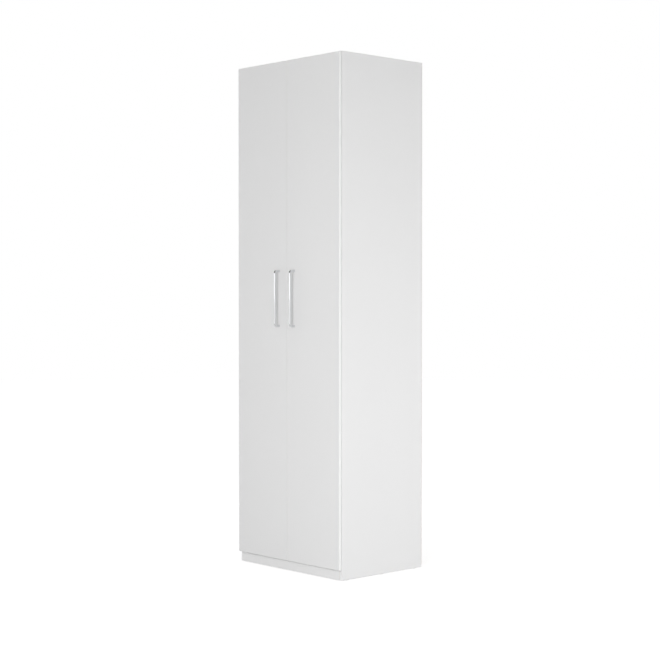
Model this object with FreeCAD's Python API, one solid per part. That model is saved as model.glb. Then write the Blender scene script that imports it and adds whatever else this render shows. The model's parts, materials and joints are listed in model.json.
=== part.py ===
import FreeCAD, Part
import os

# A tall two-door wardrobe of coated boards, in millimetres.
# X runs to the right, Y to the back and Z up; the origin is on the floor, under the middle of the box.
# Left-hand pieces are modelled, and right-hand ones are their mirror images.

Vector = FreeCAD.Vector
TO_LEFT = Vector(-1, 0, 0)
TO_RIGHT = Vector(1, 0, 0)
TO_FRONT = Vector(0, -1, 0)
TO_BACK = Vector(0, 1, 0)
UP = Vector(0, 0, 1)
DIAGONAL = 0.5 ** 0.5         # each part of a unit step at 45 degrees

# Overall sizes
WIDTH = 710.0                 # across the outer faces of the sides
DEPTH = 537.0                 # door fronts to the rearmost face
HEIGHT = 2380.0               # floor to top

# Boards
BOARD = 15.0                  # sides, top, bottom, shelves and plinths
DOOR_THICKNESS = 15.0
BACK_SHEET = 3.0
HOLE_SKIN = 4.0               # board left beyond a blind hole
CARCASS_EDGE_ROUND = 0.8      # front edges of the sides, panels and shelves

# Doors
DOOR_GAP = 2.2                # back of a door to the front of the carcass
DOOR_REVEAL = 1.0             # outer face of the side to the edge of the door
DOOR_MEETING_GAP = 1.0        # between the two doors
DOOR_BOTTOM = 50.0            # floor to the lower edge
DOOR_TOP_DROP = 4.0           # top of the carcass to the upper edge
DOOR_EDGE_ROUND = 1.0

# Base
GLIDE_HEIGHT = 2.5
GLIDE_DIAMETER = 14.0
GLIDE_RIM_ROUND = 1.2
GLIDE_NAIL_DIAMETER = 2.5
GLIDE_NAIL_LENGTH = 12.0
GLIDE_INSET = 40.0            # end of a side's lower edge to the nearest glide
GLIDES_PER_SIDE = 3
PLINTH_HEIGHT = 44.5
REAR_PLINTH_INSET = 30.0      # rear edge of the sides to the rear plinth

# Shelves
UPPER_SHELF_TOP = 1990.0
LOWER_SHELF_TOP = 480.0
LOOSE_SHELF_TOP = 272.0
SHELF_SETBACK = 20.0          # front of the carcass to the front of a shelf
LOOSE_SHELF_PLAY = 1.0        # at each end of the loose shelf, and behind it
SHELF_PIN_DIAMETER = 5.0
SHELF_PIN_TONGUE = 9.0        # length of the flat tongue under the shelf
SHELF_PIN_TONGUE_WIDTH = 9.0
SHELF_PIN_INSET = 50.0        # front and rear edges of the loose shelf to a pin
SHELF_PIN_PITCH = 32.0        # between the holes of a column
SPARE_PIN_HOLES = 2           # above and below the pin in use

# Knock-down fittings of the fixed panels
CAM_DIAMETER = 15.0
CAM_FLOOR = 2.5               # board left above the cam
CAM_DISTANCE = 34.0           # end of a panel to the middle of the cam
CAM_SETBACK = 60.0            # front and rear edges of a panel to the cam
CAM_BOLT_DIAMETER = 5.0
CAM_BOLT_HEAD_DIAMETER = 7.0
CAM_BOLT_HEAD_LENGTH = 3.0
CAM_BOLT_CHANNEL = 8.0        # bore in the panel's end, and through the cam
CAM_HEAD_ROOM = 0.5           # free room beyond the bolt's head
CAM_COVER_DIAMETER = 17.0
CAM_COVER_THICKNESS = 1.2
DOWEL_DIAMETER = 8.0
DOWEL_IN_PANEL = 19.0

# Back
BACK_INSET = 2.0              # outer faces of the carcass to the edges of the sheets
BACK_BOTTOM_RISE = 12.0       # lower edge of the sides to the lower sheet
BACK_JOINT_HEIGHT = 1190.0    # floor to the middle of the joint strip
JOINT_FLANGE = 1.0
JOINT_FLANGE_WIDTH = 16.0
JOINT_WEB = 1.5
JOINT_END_PLAY = 1.0          # each end of the strip to the side

# Hanging rail
RAIL_HEIGHT = 30.0
RAIL_WIDTH = 15.0
RAIL_WALL = 1.0
RAIL_DROP = 75.0              # underside of the upper shelf to the middle of the rail
RAIL_FIT = 0.2                # rail to socket, all round
SOCKET_PLATE = 2.5
SOCKET_PLATE_MARGIN = 6.0     # collar to the edge of the plate, front and back
SOCKET_COLLAR = 2.0
SOCKET_COLLAR_LENGTH = 12.0
SOCKET_SCREW_OFFSET = 9.0     # outer face of the collar to a screw's axis
SOCKET_SCREW_MARGIN = 7.0     # screw's axis to the end of the plate

# Wall fixing
WALL_BRACKET_SPACING = 500.0
WALL_BRACKET_LEG = 32.0
WALL_BRACKET_WIDTH = 22.0
WALL_BRACKET_STEEL = 2.0
WALL_BRACKET_CORNER_ROUND = 5.0
WALL_HOLE_DIAMETER = 6.0
WALL_HOLE_INSET = 12.0        # end of a leg to its hole

# Screws: shank, head diameter and head height
SCREW_SHANK = 3.5
SCREW_HEAD_DIAMETER = 6.6
SCREW_HEAD_HEIGHT = 1.6
ARM_SCREW_SHANK = 4.0
ARM_SCREW_HEAD_DIAMETER = 7.5
ARM_SCREW_HEAD_HEIGHT = 2.0
HANDLE_SCREW_SHANK = 4.0
HANDLE_SCREW_HEAD_DIAMETER = 8.5
HANDLE_SCREW_HEAD_HEIGHT = 2.4

# Hinges
HINGE_COUNT = 4
HINGE_END_INSET = 100.0       # ends of the door to the outermost hinges
CUP_DIAMETER = 35.0
CUP_EDGE = 3.0                # edge of the door to the cup
CUP_WALL = 0.8
CUP_SKIN = 3.0                # door left in front of the cup
CUP_FLANGE = 0.8
CUP_RIM = 0.6                 # flange beyond the cup, all round
CUP_EAR_WIDTH = 14.0
CUP_SCREW_SPACING = 48.0
CUP_SCREW_MARGIN = 5.0        # screw's axis to the end of the flange
PIN_DIAMETER = 2.0
PIN_FIT = 0.05                # pin to the arm's eye, on the radius
PIN_END_SKIN = 0.3            # cup wall left beyond each end of the pin
EYE_CLEARANCE = 0.6           # eye to the wall and floor of the cup
ARM_STRIP = 1.0               # steel of the arm, also where it is rolled round the pin
ARM_HEIGHT = 13.4             # face of the side to the outer face of the arm
ARM_WIDTH = 13.0
ARM_LENGTH = 56.0             # front of the carcass to the rear end of the arm
ARM_FLANGE_FRONT = 5.0        # front of the carcass to the arm's side flanges
ARM_FLANGE_FOOT = 4.0         # face of the side to the arm's side flanges
NECK_WIDTH = 6.4
NECK_BEND = 5.0               # radius of the neck's bend on its middle line
PLATE_BASE = 2.0
PLATE_SETBACK = 37.0          # front of the carcass to the row of plate screws
PLATE_SCREW_SPACING = 32.0
PLATE_SCREW_MARGIN = 7.0      # screw's axis to the end of the plate
PLATE_EAR_WIDTH = 14.0
PLATE_BLOCK_LENGTH = 32.0
PLATE_BLOCK_PLAY = 0.2        # block to the arm's side flanges
ARM_SCREW_PITCH = 16.0        # between the two screws of an arm

# Handles
HANDLE_SPACING = 256.0        # between the screws
HANDLE_POST = 10.5            # height of a post
HANDLE_WIDTH = 7.0
HANDLE_BAR = 12.5             # thickness of the bar, front to back
HANDLE_PROJECTION = 31.0      # front of the door to the front of the bar
HANDLE_OUTER_ROUND = 15.0
HANDLE_INNER_ROUND = 5.0
HANDLE_EDGE_ROUND = 1.0
HANDLE_EDGE_INSET = 53.0      # free edge of the door to the handle's middle
HANDLE_CENTRE = 1273.0        # floor to the handle's middle
HANDLE_SCREW_GRIP = 12.0      # depth of the screw in a post

# Door bumpers
BUMPER_DIAMETER = 9.0
BUMPER_FREE_GAP = 0.3         # bumper to the carcass when the door is shut
BUMPER_INSET = 30.0           # free edge of the door to a bumper

# Places worked out from the sizes above
X_OUTER = WIDTH / 2
X_INNER = X_OUTER - BOARD
Y_BACK = (DEPTH + HANDLE_PROJECTION) / 2
Y_DOOR_FRONT = Y_BACK - DEPTH
Y_DOOR_BACK = Y_DOOR_FRONT + DOOR_THICKNESS
Y_CARCASS_FRONT = Y_DOOR_BACK + DOOR_GAP
Y_SHEET_BACK = Y_BACK - JOINT_FLANGE
Y_CARCASS_BACK = Y_SHEET_BACK - BACK_SHEET
Z_BOTTOM_PANEL = GLIDE_HEIGHT + PLINTH_HEIGHT
Z_TOP_PANEL = HEIGHT - BOARD
Z_DOOR_TOP = HEIGHT - DOOR_TOP_DROP
Z_RAIL = UPPER_SHELF_TOP - BOARD - RAIL_DROP
BLIND_DEPTH = BOARD - HOLE_SKIN
X_DOOR_EDGE = -X_OUTER + DOOR_REVEAL
X_DOOR_FREE = -DOOR_MEETING_GAP / 2
X_HANDLE = X_DOOR_FREE - HANDLE_EDGE_INSET

# The hinge's pin lies in the cup, beside its outer wall
CUP_DEPTH = DOOR_THICKNESS - CUP_SKIN
EYE_RADIUS = PIN_DIAMETER / 2 + PIN_FIT + ARM_STRIP
X_CUP = X_DOOR_EDGE + CUP_EDGE + CUP_DIAMETER / 2
X_PIN = X_DOOR_EDGE + CUP_EDGE + CUP_WALL + EYE_CLEARANCE + EYE_RADIUS
Y_PIN = Y_DOOR_BACK - CUP_DEPTH + CUP_WALL + EYE_CLEARANCE + EYE_RADIUS
X_ARM_FACE = -X_INNER + ARM_HEIGHT
Y_PLATE = Y_CARCASS_FRONT + PLATE_SETBACK


def span(count, first, last):
    """Evenly spaced places from first to last."""
    return [first + (last - first) * index / (count - 1) for index in range(count)]


def box(x, y, z):
    """A block between pairs of limits along each axis."""
    return Part.makeBox(x[1] - x[0], y[1] - y[0], z[1] - z[0], Vector(x[0], y[0], z[0]))


def rod(seat, direction, diameter, length):
    return Part.makeCylinder(diameter / 2, length, seat, direction)


def mirrored(shape):
    """The right-hand twin of a left-hand shape."""
    return shape.mirror(Vector(0, 0, 0), TO_RIGHT)


def both_hands(shapes):
    return shapes + [mirrored(shape) for shape in shapes]


def edges_where(shape, test):
    """The edges of a shape whose ends pass the test."""
    return [edge for edge in shape.Edges if all(test(vertex.Point) for vertex in edge.Vertexes)]


def near(value, target):
    return abs(value - target) < 1e-6


def eased_front(board):
    """A board with the two long edges of its front softened."""
    front = board.BoundBox.YMin
    longest = max(edge.Length for edge in board.Edges)
    edges = edges_where(board, lambda point: near(point.y, front))
    return board.makeFillet(CARCASS_EDGE_ROUND, [edge for edge in edges if near(edge.Length, longest)])


def screw(seat, direction, shank, head_diameter, head_height, length):
    """A pan-head screw whose head bears on the seat and whose shank runs along the direction."""
    head = rod(seat, direction * -1, head_diameter, head_height)
    return head.fuse(rod(seat, direction, shank, length)).removeSplitter()


def stadium(seat, along, half_length, half_width, normal, height):
    """A slab with two round ends: its long middle line runs along a direction on the seat's plane."""
    across = normal.cross(along)
    reach = half_length - half_width
    start = seat - along * reach - across * half_width
    corners = [start, start + along * 2 * reach]
    corners += [corners[1] + across * 2 * half_width, start + across * 2 * half_width]
    outline = Part.Wire([
        Part.LineSegment(corners[0], corners[1]).toShape(),
        Part.Arc(corners[1], seat + along * half_length, corners[2]).toShape(),
        Part.LineSegment(corners[2], corners[3]).toShape(),
        Part.Arc(corners[3], seat - along * half_length, corners[0]).toShape(),
    ])
    return Part.Face(outline).extrude(normal * height)


# Fixed panels and their fittings

def fixed_panels():
    """Underside height and front edge of each panel that is fixed between the sides."""
    shelf_front = Y_CARCASS_FRONT + SHELF_SETBACK
    return {
        "top_panel": (Z_TOP_PANEL, Y_CARCASS_FRONT),
        "upper_shelf": (UPPER_SHELF_TOP - BOARD, shelf_front),
        "lower_shelf": (LOWER_SHELF_TOP - BOARD, shelf_front),
        "bottom_panel": (Z_BOTTOM_PANEL, Y_CARCASS_FRONT),
    }


def cam_places(name):
    """Middle of the underside of each cam at the left end of a fixed panel."""
    underside, front = fixed_panels()[name]
    x = -X_INNER + CAM_DISTANCE
    return [Vector(x, y, underside) for y in (front + CAM_SETBACK, Y_CARCASS_BACK - CAM_SETBACK)]


def cam_bolt_seat(place):
    """Point on the side's inner face where the bolt of a cam goes in."""
    return Vector(-X_INNER, place.y, place.z + BOARD / 2)


def panel_dowel_seat(name):
    underside, front = fixed_panels()[name]
    return Vector(-X_INNER, (front + Y_CARCASS_BACK) / 2, underside + BOARD / 2)


def plinth_fronts():
    return {
        "front_plinth": Y_CARCASS_FRONT,
        "rear_plinth": Y_CARCASS_BACK - REAR_PLINTH_INSET - BOARD,
    }


def plinth_dowel_seat(name):
    return Vector(-X_INNER, plinth_fronts()[name] + BOARD / 2, GLIDE_HEIGHT + PLINTH_HEIGHT / 2)


def dowel_seats():
    seats = [panel_dowel_seat(name) for name in fixed_panels()]
    return seats + [plinth_dowel_seat(name) for name in plinth_fronts()]


def dowel(seat):
    return rod(seat + TO_LEFT * BLIND_DEPTH, TO_RIGHT, DOWEL_DIAMETER, BLIND_DEPTH + DOWEL_IN_PANEL)


def cam_bolt(place):
    """A bolt screwed into the side, whose head lies in the middle of the cam."""
    seat = cam_bolt_seat(place)
    shank_end = CAM_DISTANCE - CAM_BOLT_HEAD_LENGTH / 2
    shank = rod(seat + TO_LEFT * BLIND_DEPTH, TO_RIGHT, CAM_BOLT_DIAMETER, BLIND_DEPTH + shank_end)
    head = rod(seat + TO_RIGHT * shank_end, TO_RIGHT, CAM_BOLT_HEAD_DIAMETER, CAM_BOLT_HEAD_LENGTH)
    return shank.fuse(head).removeSplitter()


def cam_channel(place):
    """The bore for the bolt, from the panel's end to just beyond the bolt's head."""
    length = CAM_DISTANCE + CAM_BOLT_HEAD_LENGTH / 2 + CAM_HEAD_ROOM
    return rod(cam_bolt_seat(place), TO_RIGHT, CAM_BOLT_CHANNEL, length)


def cam_pocket(place):
    return rod(place, UP, CAM_DIAMETER, BOARD - CAM_FLOOR)


def cam_lock(place):
    return cam_pocket(place).cut(cam_channel(place))


def cam_cover(place):
    return rod(place, UP * -1, CAM_COVER_DIAMETER, CAM_COVER_THICKNESS)


def fixed_panel(name):
    underside, front = fixed_panels()[name]
    panel = box((-X_INNER, X_INNER), (front, Y_CARCASS_BACK), (underside, underside + BOARD))
    panel = eased_front(panel)
    places = cam_places(name)
    cutters = [cam_pocket(place) for place in places] + [cam_channel(place) for place in places]
    cutters.append(dowel(panel_dowel_seat(name)))
    if name == "top_panel":
        cutters.append(wall_bracket_screw())
    return panel.cut(both_hands(cutters))


def plinth(name):
    front = plinth_fronts()[name]
    board = box((-X_INNER, X_INNER), (front, front + BOARD), (GLIDE_HEIGHT, Z_BOTTOM_PANEL))
    return eased_front(board).cut(both_hands([dowel(plinth_dowel_seat(name))]))


def loose_shelf():
    half_width = X_INNER - LOOSE_SHELF_PLAY
    rear = Y_CARCASS_BACK - LOOSE_SHELF_PLAY
    depth_limits = (Y_CARCASS_FRONT + SHELF_SETBACK, rear)
    board = box((-half_width, half_width), depth_limits, (LOOSE_SHELF_TOP - BOARD, LOOSE_SHELF_TOP))
    return eased_front(board)


def shelf_pin_seats():
    """Points on the side's inner face where the pins of the loose shelf go in."""
    z = LOOSE_SHELF_TOP - BOARD - SHELF_PIN_DIAMETER / 2
    front = Y_CARCASS_FRONT + SHELF_SETBACK + SHELF_PIN_INSET
    return [Vector(-X_INNER, y, z) for y in (front, Y_CARCASS_BACK - LOOSE_SHELF_PLAY - SHELF_PIN_INSET)]


def shelf_pin_hole(seat):
    return rod(seat, TO_LEFT, SHELF_PIN_DIAMETER, BLIND_DEPTH)


def shelf_pin_holes():
    """The column of holes at each pin, in which the loose shelf can be set higher or lower."""
    steps = [UP * SHELF_PIN_PITCH * step for step in range(-SPARE_PIN_HOLES, SPARE_PIN_HOLES + 1)]
    return [shelf_pin_hole(seat + step) for seat in shelf_pin_seats() for step in steps]


def shelf_pin(seat):
    """A round pin with a flat-topped tongue that the shelf lies on."""
    half = SHELF_PIN_TONGUE_WIDTH / 2
    z = (seat.z - SHELF_PIN_DIAMETER / 2, seat.z + SHELF_PIN_DIAMETER / 2)
    tongue = box((seat.x, seat.x + SHELF_PIN_TONGUE), (seat.y - half, seat.y + half), z)
    return tongue.fuse(shelf_pin_hole(seat)).removeSplitter()


# Sides, glides and back

def glide_seats():
    """Points on the lower edge of the left side where the glides are nailed."""
    x = -X_OUTER + BOARD / 2
    places = span(GLIDES_PER_SIDE, Y_CARCASS_FRONT + GLIDE_INSET, Y_CARCASS_BACK - GLIDE_INSET)
    return [Vector(x, y, GLIDE_HEIGHT) for y in places]


def glide_nail(seat):
    return rod(seat, UP, GLIDE_NAIL_DIAMETER, GLIDE_NAIL_LENGTH)


def floor_glide(seat):
    """A low foot with a rounded rim, and the nail that holds it."""
    foot = rod(seat, UP * -1, GLIDE_DIAMETER, GLIDE_HEIGHT)
    foot = foot.makeFillet(GLIDE_RIM_ROUND, edges_where(foot, lambda point: near(point.z, 0)))
    return foot.fuse(glide_nail(seat)).removeSplitter()


def side_panel():
    """The left side, with every hole that its fittings need."""
    depth_limits = (Y_CARCASS_FRONT, Y_CARCASS_BACK)
    panel = eased_front(box((-X_OUTER, -X_INNER), depth_limits, (GLIDE_HEIGHT, HEIGHT)))
    cutters = [dowel(seat) for seat in dowel_seats()]
    cutters += shelf_pin_holes()
    cutters += [glide_nail(seat) for seat in glide_seats()]
    cutters += [rail_socket_screw(seat) for seat in rail_socket_screw_seats()]
    for z in hinge_heights():
        cutters += [plate_screw(seat) for seat in plate_screw_seats(z)]
    for name in fixed_panels():
        cutters += [cam_bolt(place) for place in cam_places(name)]
    return panel.cut(cutters)


def back_sheets():
    """The upper and lower sheets, which meet in the joint strip."""
    x = (-X_OUTER + BACK_INSET, X_OUTER - BACK_INSET)
    y = (Y_CARCASS_BACK, Y_SHEET_BACK)
    upper = box(x, y, (BACK_JOINT_HEIGHT + JOINT_WEB / 2, HEIGHT - BACK_INSET))
    lower = box(x, y, (GLIDE_HEIGHT + BACK_BOTTOM_RISE, BACK_JOINT_HEIGHT - JOINT_WEB / 2))
    return upper.cut(both_hands([wall_hole()])), lower


def back_joint_strip():
    """An H-section strip: two flanges over the sheets and a web between their edges."""
    half = X_INNER - JOINT_END_PLAY
    flange_z = (BACK_JOINT_HEIGHT - JOINT_FLANGE_WIDTH / 2, BACK_JOINT_HEIGHT + JOINT_FLANGE_WIDTH / 2)
    inner = box((-half, half), (Y_CARCASS_BACK - JOINT_FLANGE, Y_CARCASS_BACK), flange_z)
    outer = box((-half, half), (Y_SHEET_BACK, Y_BACK), flange_z)
    web_z = (BACK_JOINT_HEIGHT - JOINT_WEB / 2, BACK_JOINT_HEIGHT + JOINT_WEB / 2)
    web = box((-half, half), (Y_CARCASS_BACK, Y_SHEET_BACK), web_z)
    return inner.fuse([web, outer]).removeSplitter()


# Wall fixing

def wall_hole_place():
    """Middle of the left wall hole, on the rear edge of the carcass."""
    z = Z_TOP_PANEL - WALL_BRACKET_LEG + WALL_HOLE_INSET
    return Vector(-WALL_BRACKET_SPACING / 2, Y_CARCASS_BACK, z)


def wall_hole():
    start = wall_hole_place() + TO_FRONT * WALL_BRACKET_STEEL
    return rod(start, TO_BACK, WALL_HOLE_DIAMETER, WALL_BRACKET_STEEL + BACK_SHEET)


def wall_bracket_screw():
    y = Y_CARCASS_BACK - WALL_BRACKET_LEG + WALL_HOLE_INSET
    seat = Vector(-WALL_BRACKET_SPACING / 2, y, Z_TOP_PANEL - WALL_BRACKET_STEEL)
    length = WALL_BRACKET_STEEL + BLIND_DEPTH
    return screw(seat, UP, SCREW_SHANK, SCREW_HEAD_DIAMETER, SCREW_HEAD_HEIGHT, length)


def wall_bracket():
    """An angle under the top panel, with one leg flat on the back sheet."""
    middle = -WALL_BRACKET_SPACING / 2
    x = (middle - WALL_BRACKET_WIDTH / 2, middle + WALL_BRACKET_WIDTH / 2)
    y = (Y_CARCASS_BACK - WALL_BRACKET_LEG, Y_CARCASS_BACK)
    z = (Z_TOP_PANEL - WALL_BRACKET_LEG, Z_TOP_PANEL)
    inside_y = (y[0], y[1] - WALL_BRACKET_STEEL)
    inside_z = (z[0], z[1] - WALL_BRACKET_STEEL)
    angle = box(x, y, z).cut(box(x, inside_y, inside_z))
    ends = edges_where(angle, lambda point: near(point.y, y[0]) or near(point.z, z[0]))
    corners = [edge for edge in ends if near(edge.Length, WALL_BRACKET_STEEL)]
    angle = angle.makeFillet(WALL_BRACKET_CORNER_ROUND, corners)
    return angle.cut([wall_hole(), wall_bracket_screw()])


# Hanging rail

def rail_middle():
    """Middle of the rail's left end, on the inner face of the side."""
    return Vector(-X_INNER, (Y_CARCASS_FRONT + Y_CARCASS_BACK) / 2, Z_RAIL)


def hanging_rail():
    """An oval tube that ends on the plates of its two sockets."""
    start = rail_middle() + TO_RIGHT * SOCKET_PLATE
    length = 2 * (X_INNER - SOCKET_PLATE)
    tube = stadium(start, UP, RAIL_HEIGHT / 2, RAIL_WIDTH / 2, TO_RIGHT, length)
    bore_height = RAIL_HEIGHT / 2 - RAIL_WALL
    bore = stadium(start, UP, bore_height, RAIL_WIDTH / 2 - RAIL_WALL, TO_RIGHT, length)
    return tube.cut(bore)


def rail_socket_screw_seats():
    reach = RAIL_HEIGHT / 2 + RAIL_FIT + SOCKET_COLLAR + SOCKET_SCREW_OFFSET
    face = rail_middle() + TO_RIGHT * SOCKET_PLATE
    return [face + UP * reach, face - UP * reach]


def rail_socket_screw(seat):
    length = SOCKET_PLATE + BLIND_DEPTH
    return screw(seat, TO_LEFT, SCREW_SHANK, SCREW_HEAD_DIAMETER, SCREW_HEAD_HEIGHT, length)


def rail_socket():
    """A screwed plate with an oval collar round the end of the rail."""
    seat = rail_middle()
    half_height = RAIL_HEIGHT / 2 + RAIL_FIT
    half_width = RAIL_WIDTH / 2 + RAIL_FIT
    plate_height = half_height + SOCKET_COLLAR + SOCKET_SCREW_OFFSET + SOCKET_SCREW_MARGIN
    plate_width = half_width + SOCKET_COLLAR + SOCKET_PLATE_MARGIN
    plate = stadium(seat, UP, plate_height, plate_width, TO_RIGHT, SOCKET_PLATE)
    face = seat + TO_RIGHT * SOCKET_PLATE
    collar_height = half_height + SOCKET_COLLAR
    collar = stadium(face, UP, collar_height, half_width + SOCKET_COLLAR, TO_RIGHT, SOCKET_COLLAR_LENGTH)
    collar = collar.cut(stadium(face, UP, half_height, half_width, TO_RIGHT, SOCKET_COLLAR_LENGTH))
    holes = [rail_socket_screw(screw_seat) for screw_seat in rail_socket_screw_seats()]
    return plate.fuse(collar).removeSplitter().cut(holes)


# Hinges

def hinge_heights():
    return span(HINGE_COUNT, DOOR_BOTTOM + HINGE_END_INSET, Z_DOOR_TOP - HINGE_END_INSET)


def plate_screw_seats(z):
    """Points on the outer face of a hinge plate where its screws bear."""
    x = -X_INNER + PLATE_BASE
    half = PLATE_SCREW_SPACING / 2
    return [Vector(x, Y_PLATE, z + side * half) for side in (-1, 1)]


def plate_screw(seat):
    length = PLATE_BASE + BLIND_DEPTH
    return screw(seat, TO_LEFT, SCREW_SHANK, SCREW_HEAD_DIAMETER, SCREW_HEAD_HEIGHT, length)


def arm_screw_seats(z):
    half = ARM_SCREW_PITCH / 2
    return [Vector(X_ARM_FACE, Y_PLATE + side * half, z) for side in (-1, 1)]


def arm_screw(seat):
    """A screw through the arm's strip that ends at the base of the plate."""
    length = ARM_HEIGHT - PLATE_BASE
    return screw(seat, TO_LEFT, ARM_SCREW_SHANK, ARM_SCREW_HEAD_DIAMETER, ARM_SCREW_HEAD_HEIGHT, length)


def hinge_plate(z):
    """A cross-shaped plate: two screwed ears, and a block that the arm sits on."""
    seat = Vector(-X_INNER, Y_PLATE, z)
    ear_length = PLATE_SCREW_SPACING / 2 + PLATE_SCREW_MARGIN
    ears = stadium(seat, UP, ear_length, PLATE_EAR_WIDTH / 2, TO_RIGHT, PLATE_BASE)
    half_width = ARM_WIDTH / 2 - ARM_STRIP - PLATE_BLOCK_PLAY
    block_y = (Y_PLATE - PLATE_BLOCK_LENGTH / 2, Y_PLATE + PLATE_BLOCK_LENGTH / 2)
    block = box((-X_INNER, X_ARM_FACE - ARM_STRIP), block_y, (z - half_width, z + half_width))
    screws = [plate_screw(place) for place in plate_screw_seats(z)]
    screws += [arm_screw(place) for place in arm_screw_seats(z)]
    return ears.fuse(block).removeSplitter().cut(screws)


def neck_profile(z):
    """Outline of the bent strip: from the front of the eye along the cup, round a bend and to the back."""
    front_face = Y_PIN - EYE_RADIUS
    outer = NECK_BEND + ARM_STRIP / 2
    inner = NECK_BEND - ARM_STRIP / 2
    bend = Vector(X_ARM_FACE - outer, front_face + outer, z)
    diagonal = Vector(DIAGONAL, -DIAGONAL, 0)
    front = [Vector(X_PIN, front_face, z), bend + TO_FRONT * outer]
    right = [bend + TO_RIGHT * outer, Vector(X_ARM_FACE, Y_CARCASS_FRONT + ARM_FLANGE_FRONT, z)]
    left = [Vector(X_ARM_FACE - ARM_STRIP, right[1].y, z), bend + TO_RIGHT * inner]
    rear = [bend + TO_FRONT * inner, Vector(X_PIN, front_face + ARM_STRIP, z)]
    return Part.Face(Part.Wire([
        Part.LineSegment(front[0], front[1]).toShape(),
        Part.Arc(front[1], bend + diagonal * outer, right[0]).toShape(),
        Part.LineSegment(right[0], right[1]).toShape(),
        Part.LineSegment(right[1], left[0]).toShape(),
        Part.LineSegment(left[0], left[1]).toShape(),
        Part.Arc(left[1], bend + diagonal * inner, rear[0]).toShape(),
        Part.LineSegment(rear[0], rear[1]).toShape(),
        Part.LineSegment(rear[1], front[0]).toShape(),
    ]))


def hinge_arm(z):
    """A pressed arm: a channel over the plate's block, and a goose neck that ends in an eye on the pin."""
    low = z - NECK_WIDTH / 2
    neck = neck_profile(low).extrude(UP * NECK_WIDTH)
    eye = rod(Vector(X_PIN, Y_PIN, low), UP, EYE_RADIUS * 2, NECK_WIDTH)
    half = ARM_WIDTH / 2
    y = (Y_CARCASS_FRONT + ARM_FLANGE_FRONT, Y_CARCASS_FRONT + ARM_LENGTH)
    channel = box((-X_INNER + ARM_FLANGE_FOOT, X_ARM_FACE), y, (z - half, z + half))
    hollow_z = (z - half + ARM_STRIP, z + half - ARM_STRIP)
    hollow = box((-X_INNER + ARM_FLANGE_FOOT, X_ARM_FACE - ARM_STRIP), y, hollow_z)
    arm = channel.cut(hollow).fuse([neck, eye]).removeSplitter()
    bore = rod(Vector(X_PIN, Y_PIN, low), UP, PIN_DIAMETER + 2 * PIN_FIT, NECK_WIDTH)
    return arm.cut([bore] + [arm_screw(seat) for seat in arm_screw_seats(z)])


def hinge_pin(z):
    """A pin across the cup, with both ends seated in the cup's wall."""
    bar = rod(Vector(X_PIN, Y_PIN, z - CUP_DIAMETER / 2), UP, PIN_DIAMETER, CUP_DIAMETER)
    seat_diameter = CUP_DIAMETER - 2 * PIN_END_SKIN
    return bar.common(rod(Vector(X_CUP, Y_DOOR_BACK, z), TO_FRONT, seat_diameter, CUP_DEPTH))


def cup_screw_seats(z):
    half = CUP_SCREW_SPACING / 2
    return [Vector(X_CUP, Y_DOOR_BACK + CUP_FLANGE, z + side * half) for side in (-1, 1)]


def cup_screw(seat):
    length = CUP_FLANGE + DOOR_THICKNESS - HOLE_SKIN
    return screw(seat, TO_FRONT, SCREW_SHANK, SCREW_HEAD_DIAMETER, SCREW_HEAD_HEIGHT, length)


def cup_bore(z):
    return rod(Vector(X_CUP, Y_DOOR_BACK, z), TO_FRONT, CUP_DIAMETER, CUP_DEPTH)


def hinge_cup(z):
    """A round cup let into the door, with a rim and two screwed ears on the door's back."""
    centre = Vector(X_CUP, Y_DOOR_BACK, z)
    ear_length = CUP_SCREW_SPACING / 2 + CUP_SCREW_MARGIN
    ears = stadium(centre, UP, ear_length, CUP_EAR_WIDTH / 2, TO_BACK, CUP_FLANGE)
    rim = rod(centre, TO_BACK, CUP_DIAMETER + 2 * CUP_RIM, CUP_FLANGE)
    body = cup_bore(z).fuse([ears, rim]).removeSplitter()
    hollow_diameter = CUP_DIAMETER - 2 * CUP_WALL
    hollow_depth = CUP_DEPTH - CUP_WALL + CUP_FLANGE
    hollow = rod(centre + TO_BACK * CUP_FLANGE, TO_FRONT, hollow_diameter, hollow_depth)
    screws = [cup_screw(seat) for seat in cup_screw_seats(z)]
    return body.cut([hollow, hinge_pin(z)] + screws)


# Doors and handles

def handle_screw_seats():
    half = HANDLE_SPACING / 2
    return [Vector(X_HANDLE, Y_DOOR_BACK, HANDLE_CENTRE + side * half) for side in (-1, 1)]


def handle_screw(seat):
    length = DOOR_THICKNESS + HANDLE_SCREW_GRIP
    size = (HANDLE_SCREW_SHANK, HANDLE_SCREW_HEAD_DIAMETER, HANDLE_SCREW_HEAD_HEIGHT)
    return screw(seat, TO_FRONT, *size, length)


def bow_outline(half_height, projection, corner):
    """Outline of the bow seen from the side: two legs from the door, joined by two round corners."""
    x = X_HANDLE - HANDLE_WIDTH / 2
    front = Y_DOOR_FRONT - projection
    low = HANDLE_CENTRE - half_height
    high = HANDLE_CENTRE + half_height
    feet = [Vector(x, Y_DOOR_FRONT, low), Vector(x, Y_DOOR_FRONT, high)]
    on_arc = corner * (1 - DIAGONAL)
    lower = [Vector(x, front + corner, low)]
    lower += [Vector(x, front + on_arc, low + on_arc), Vector(x, front, low + corner)]
    upper = [Vector(x, front, high - corner)]
    upper += [Vector(x, front + on_arc, high - on_arc), Vector(x, front + corner, high)]
    return Part.Face(Part.Wire([
        Part.LineSegment(feet[0], lower[0]).toShape(),
        Part.Arc(*lower).toShape(),
        Part.LineSegment(lower[2], upper[0]).toShape(),
        Part.Arc(*upper).toShape(),
        Part.LineSegment(upper[2], feet[1]).toShape(),
        Part.LineSegment(feet[1], feet[0]).toShape(),
    ]))


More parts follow.
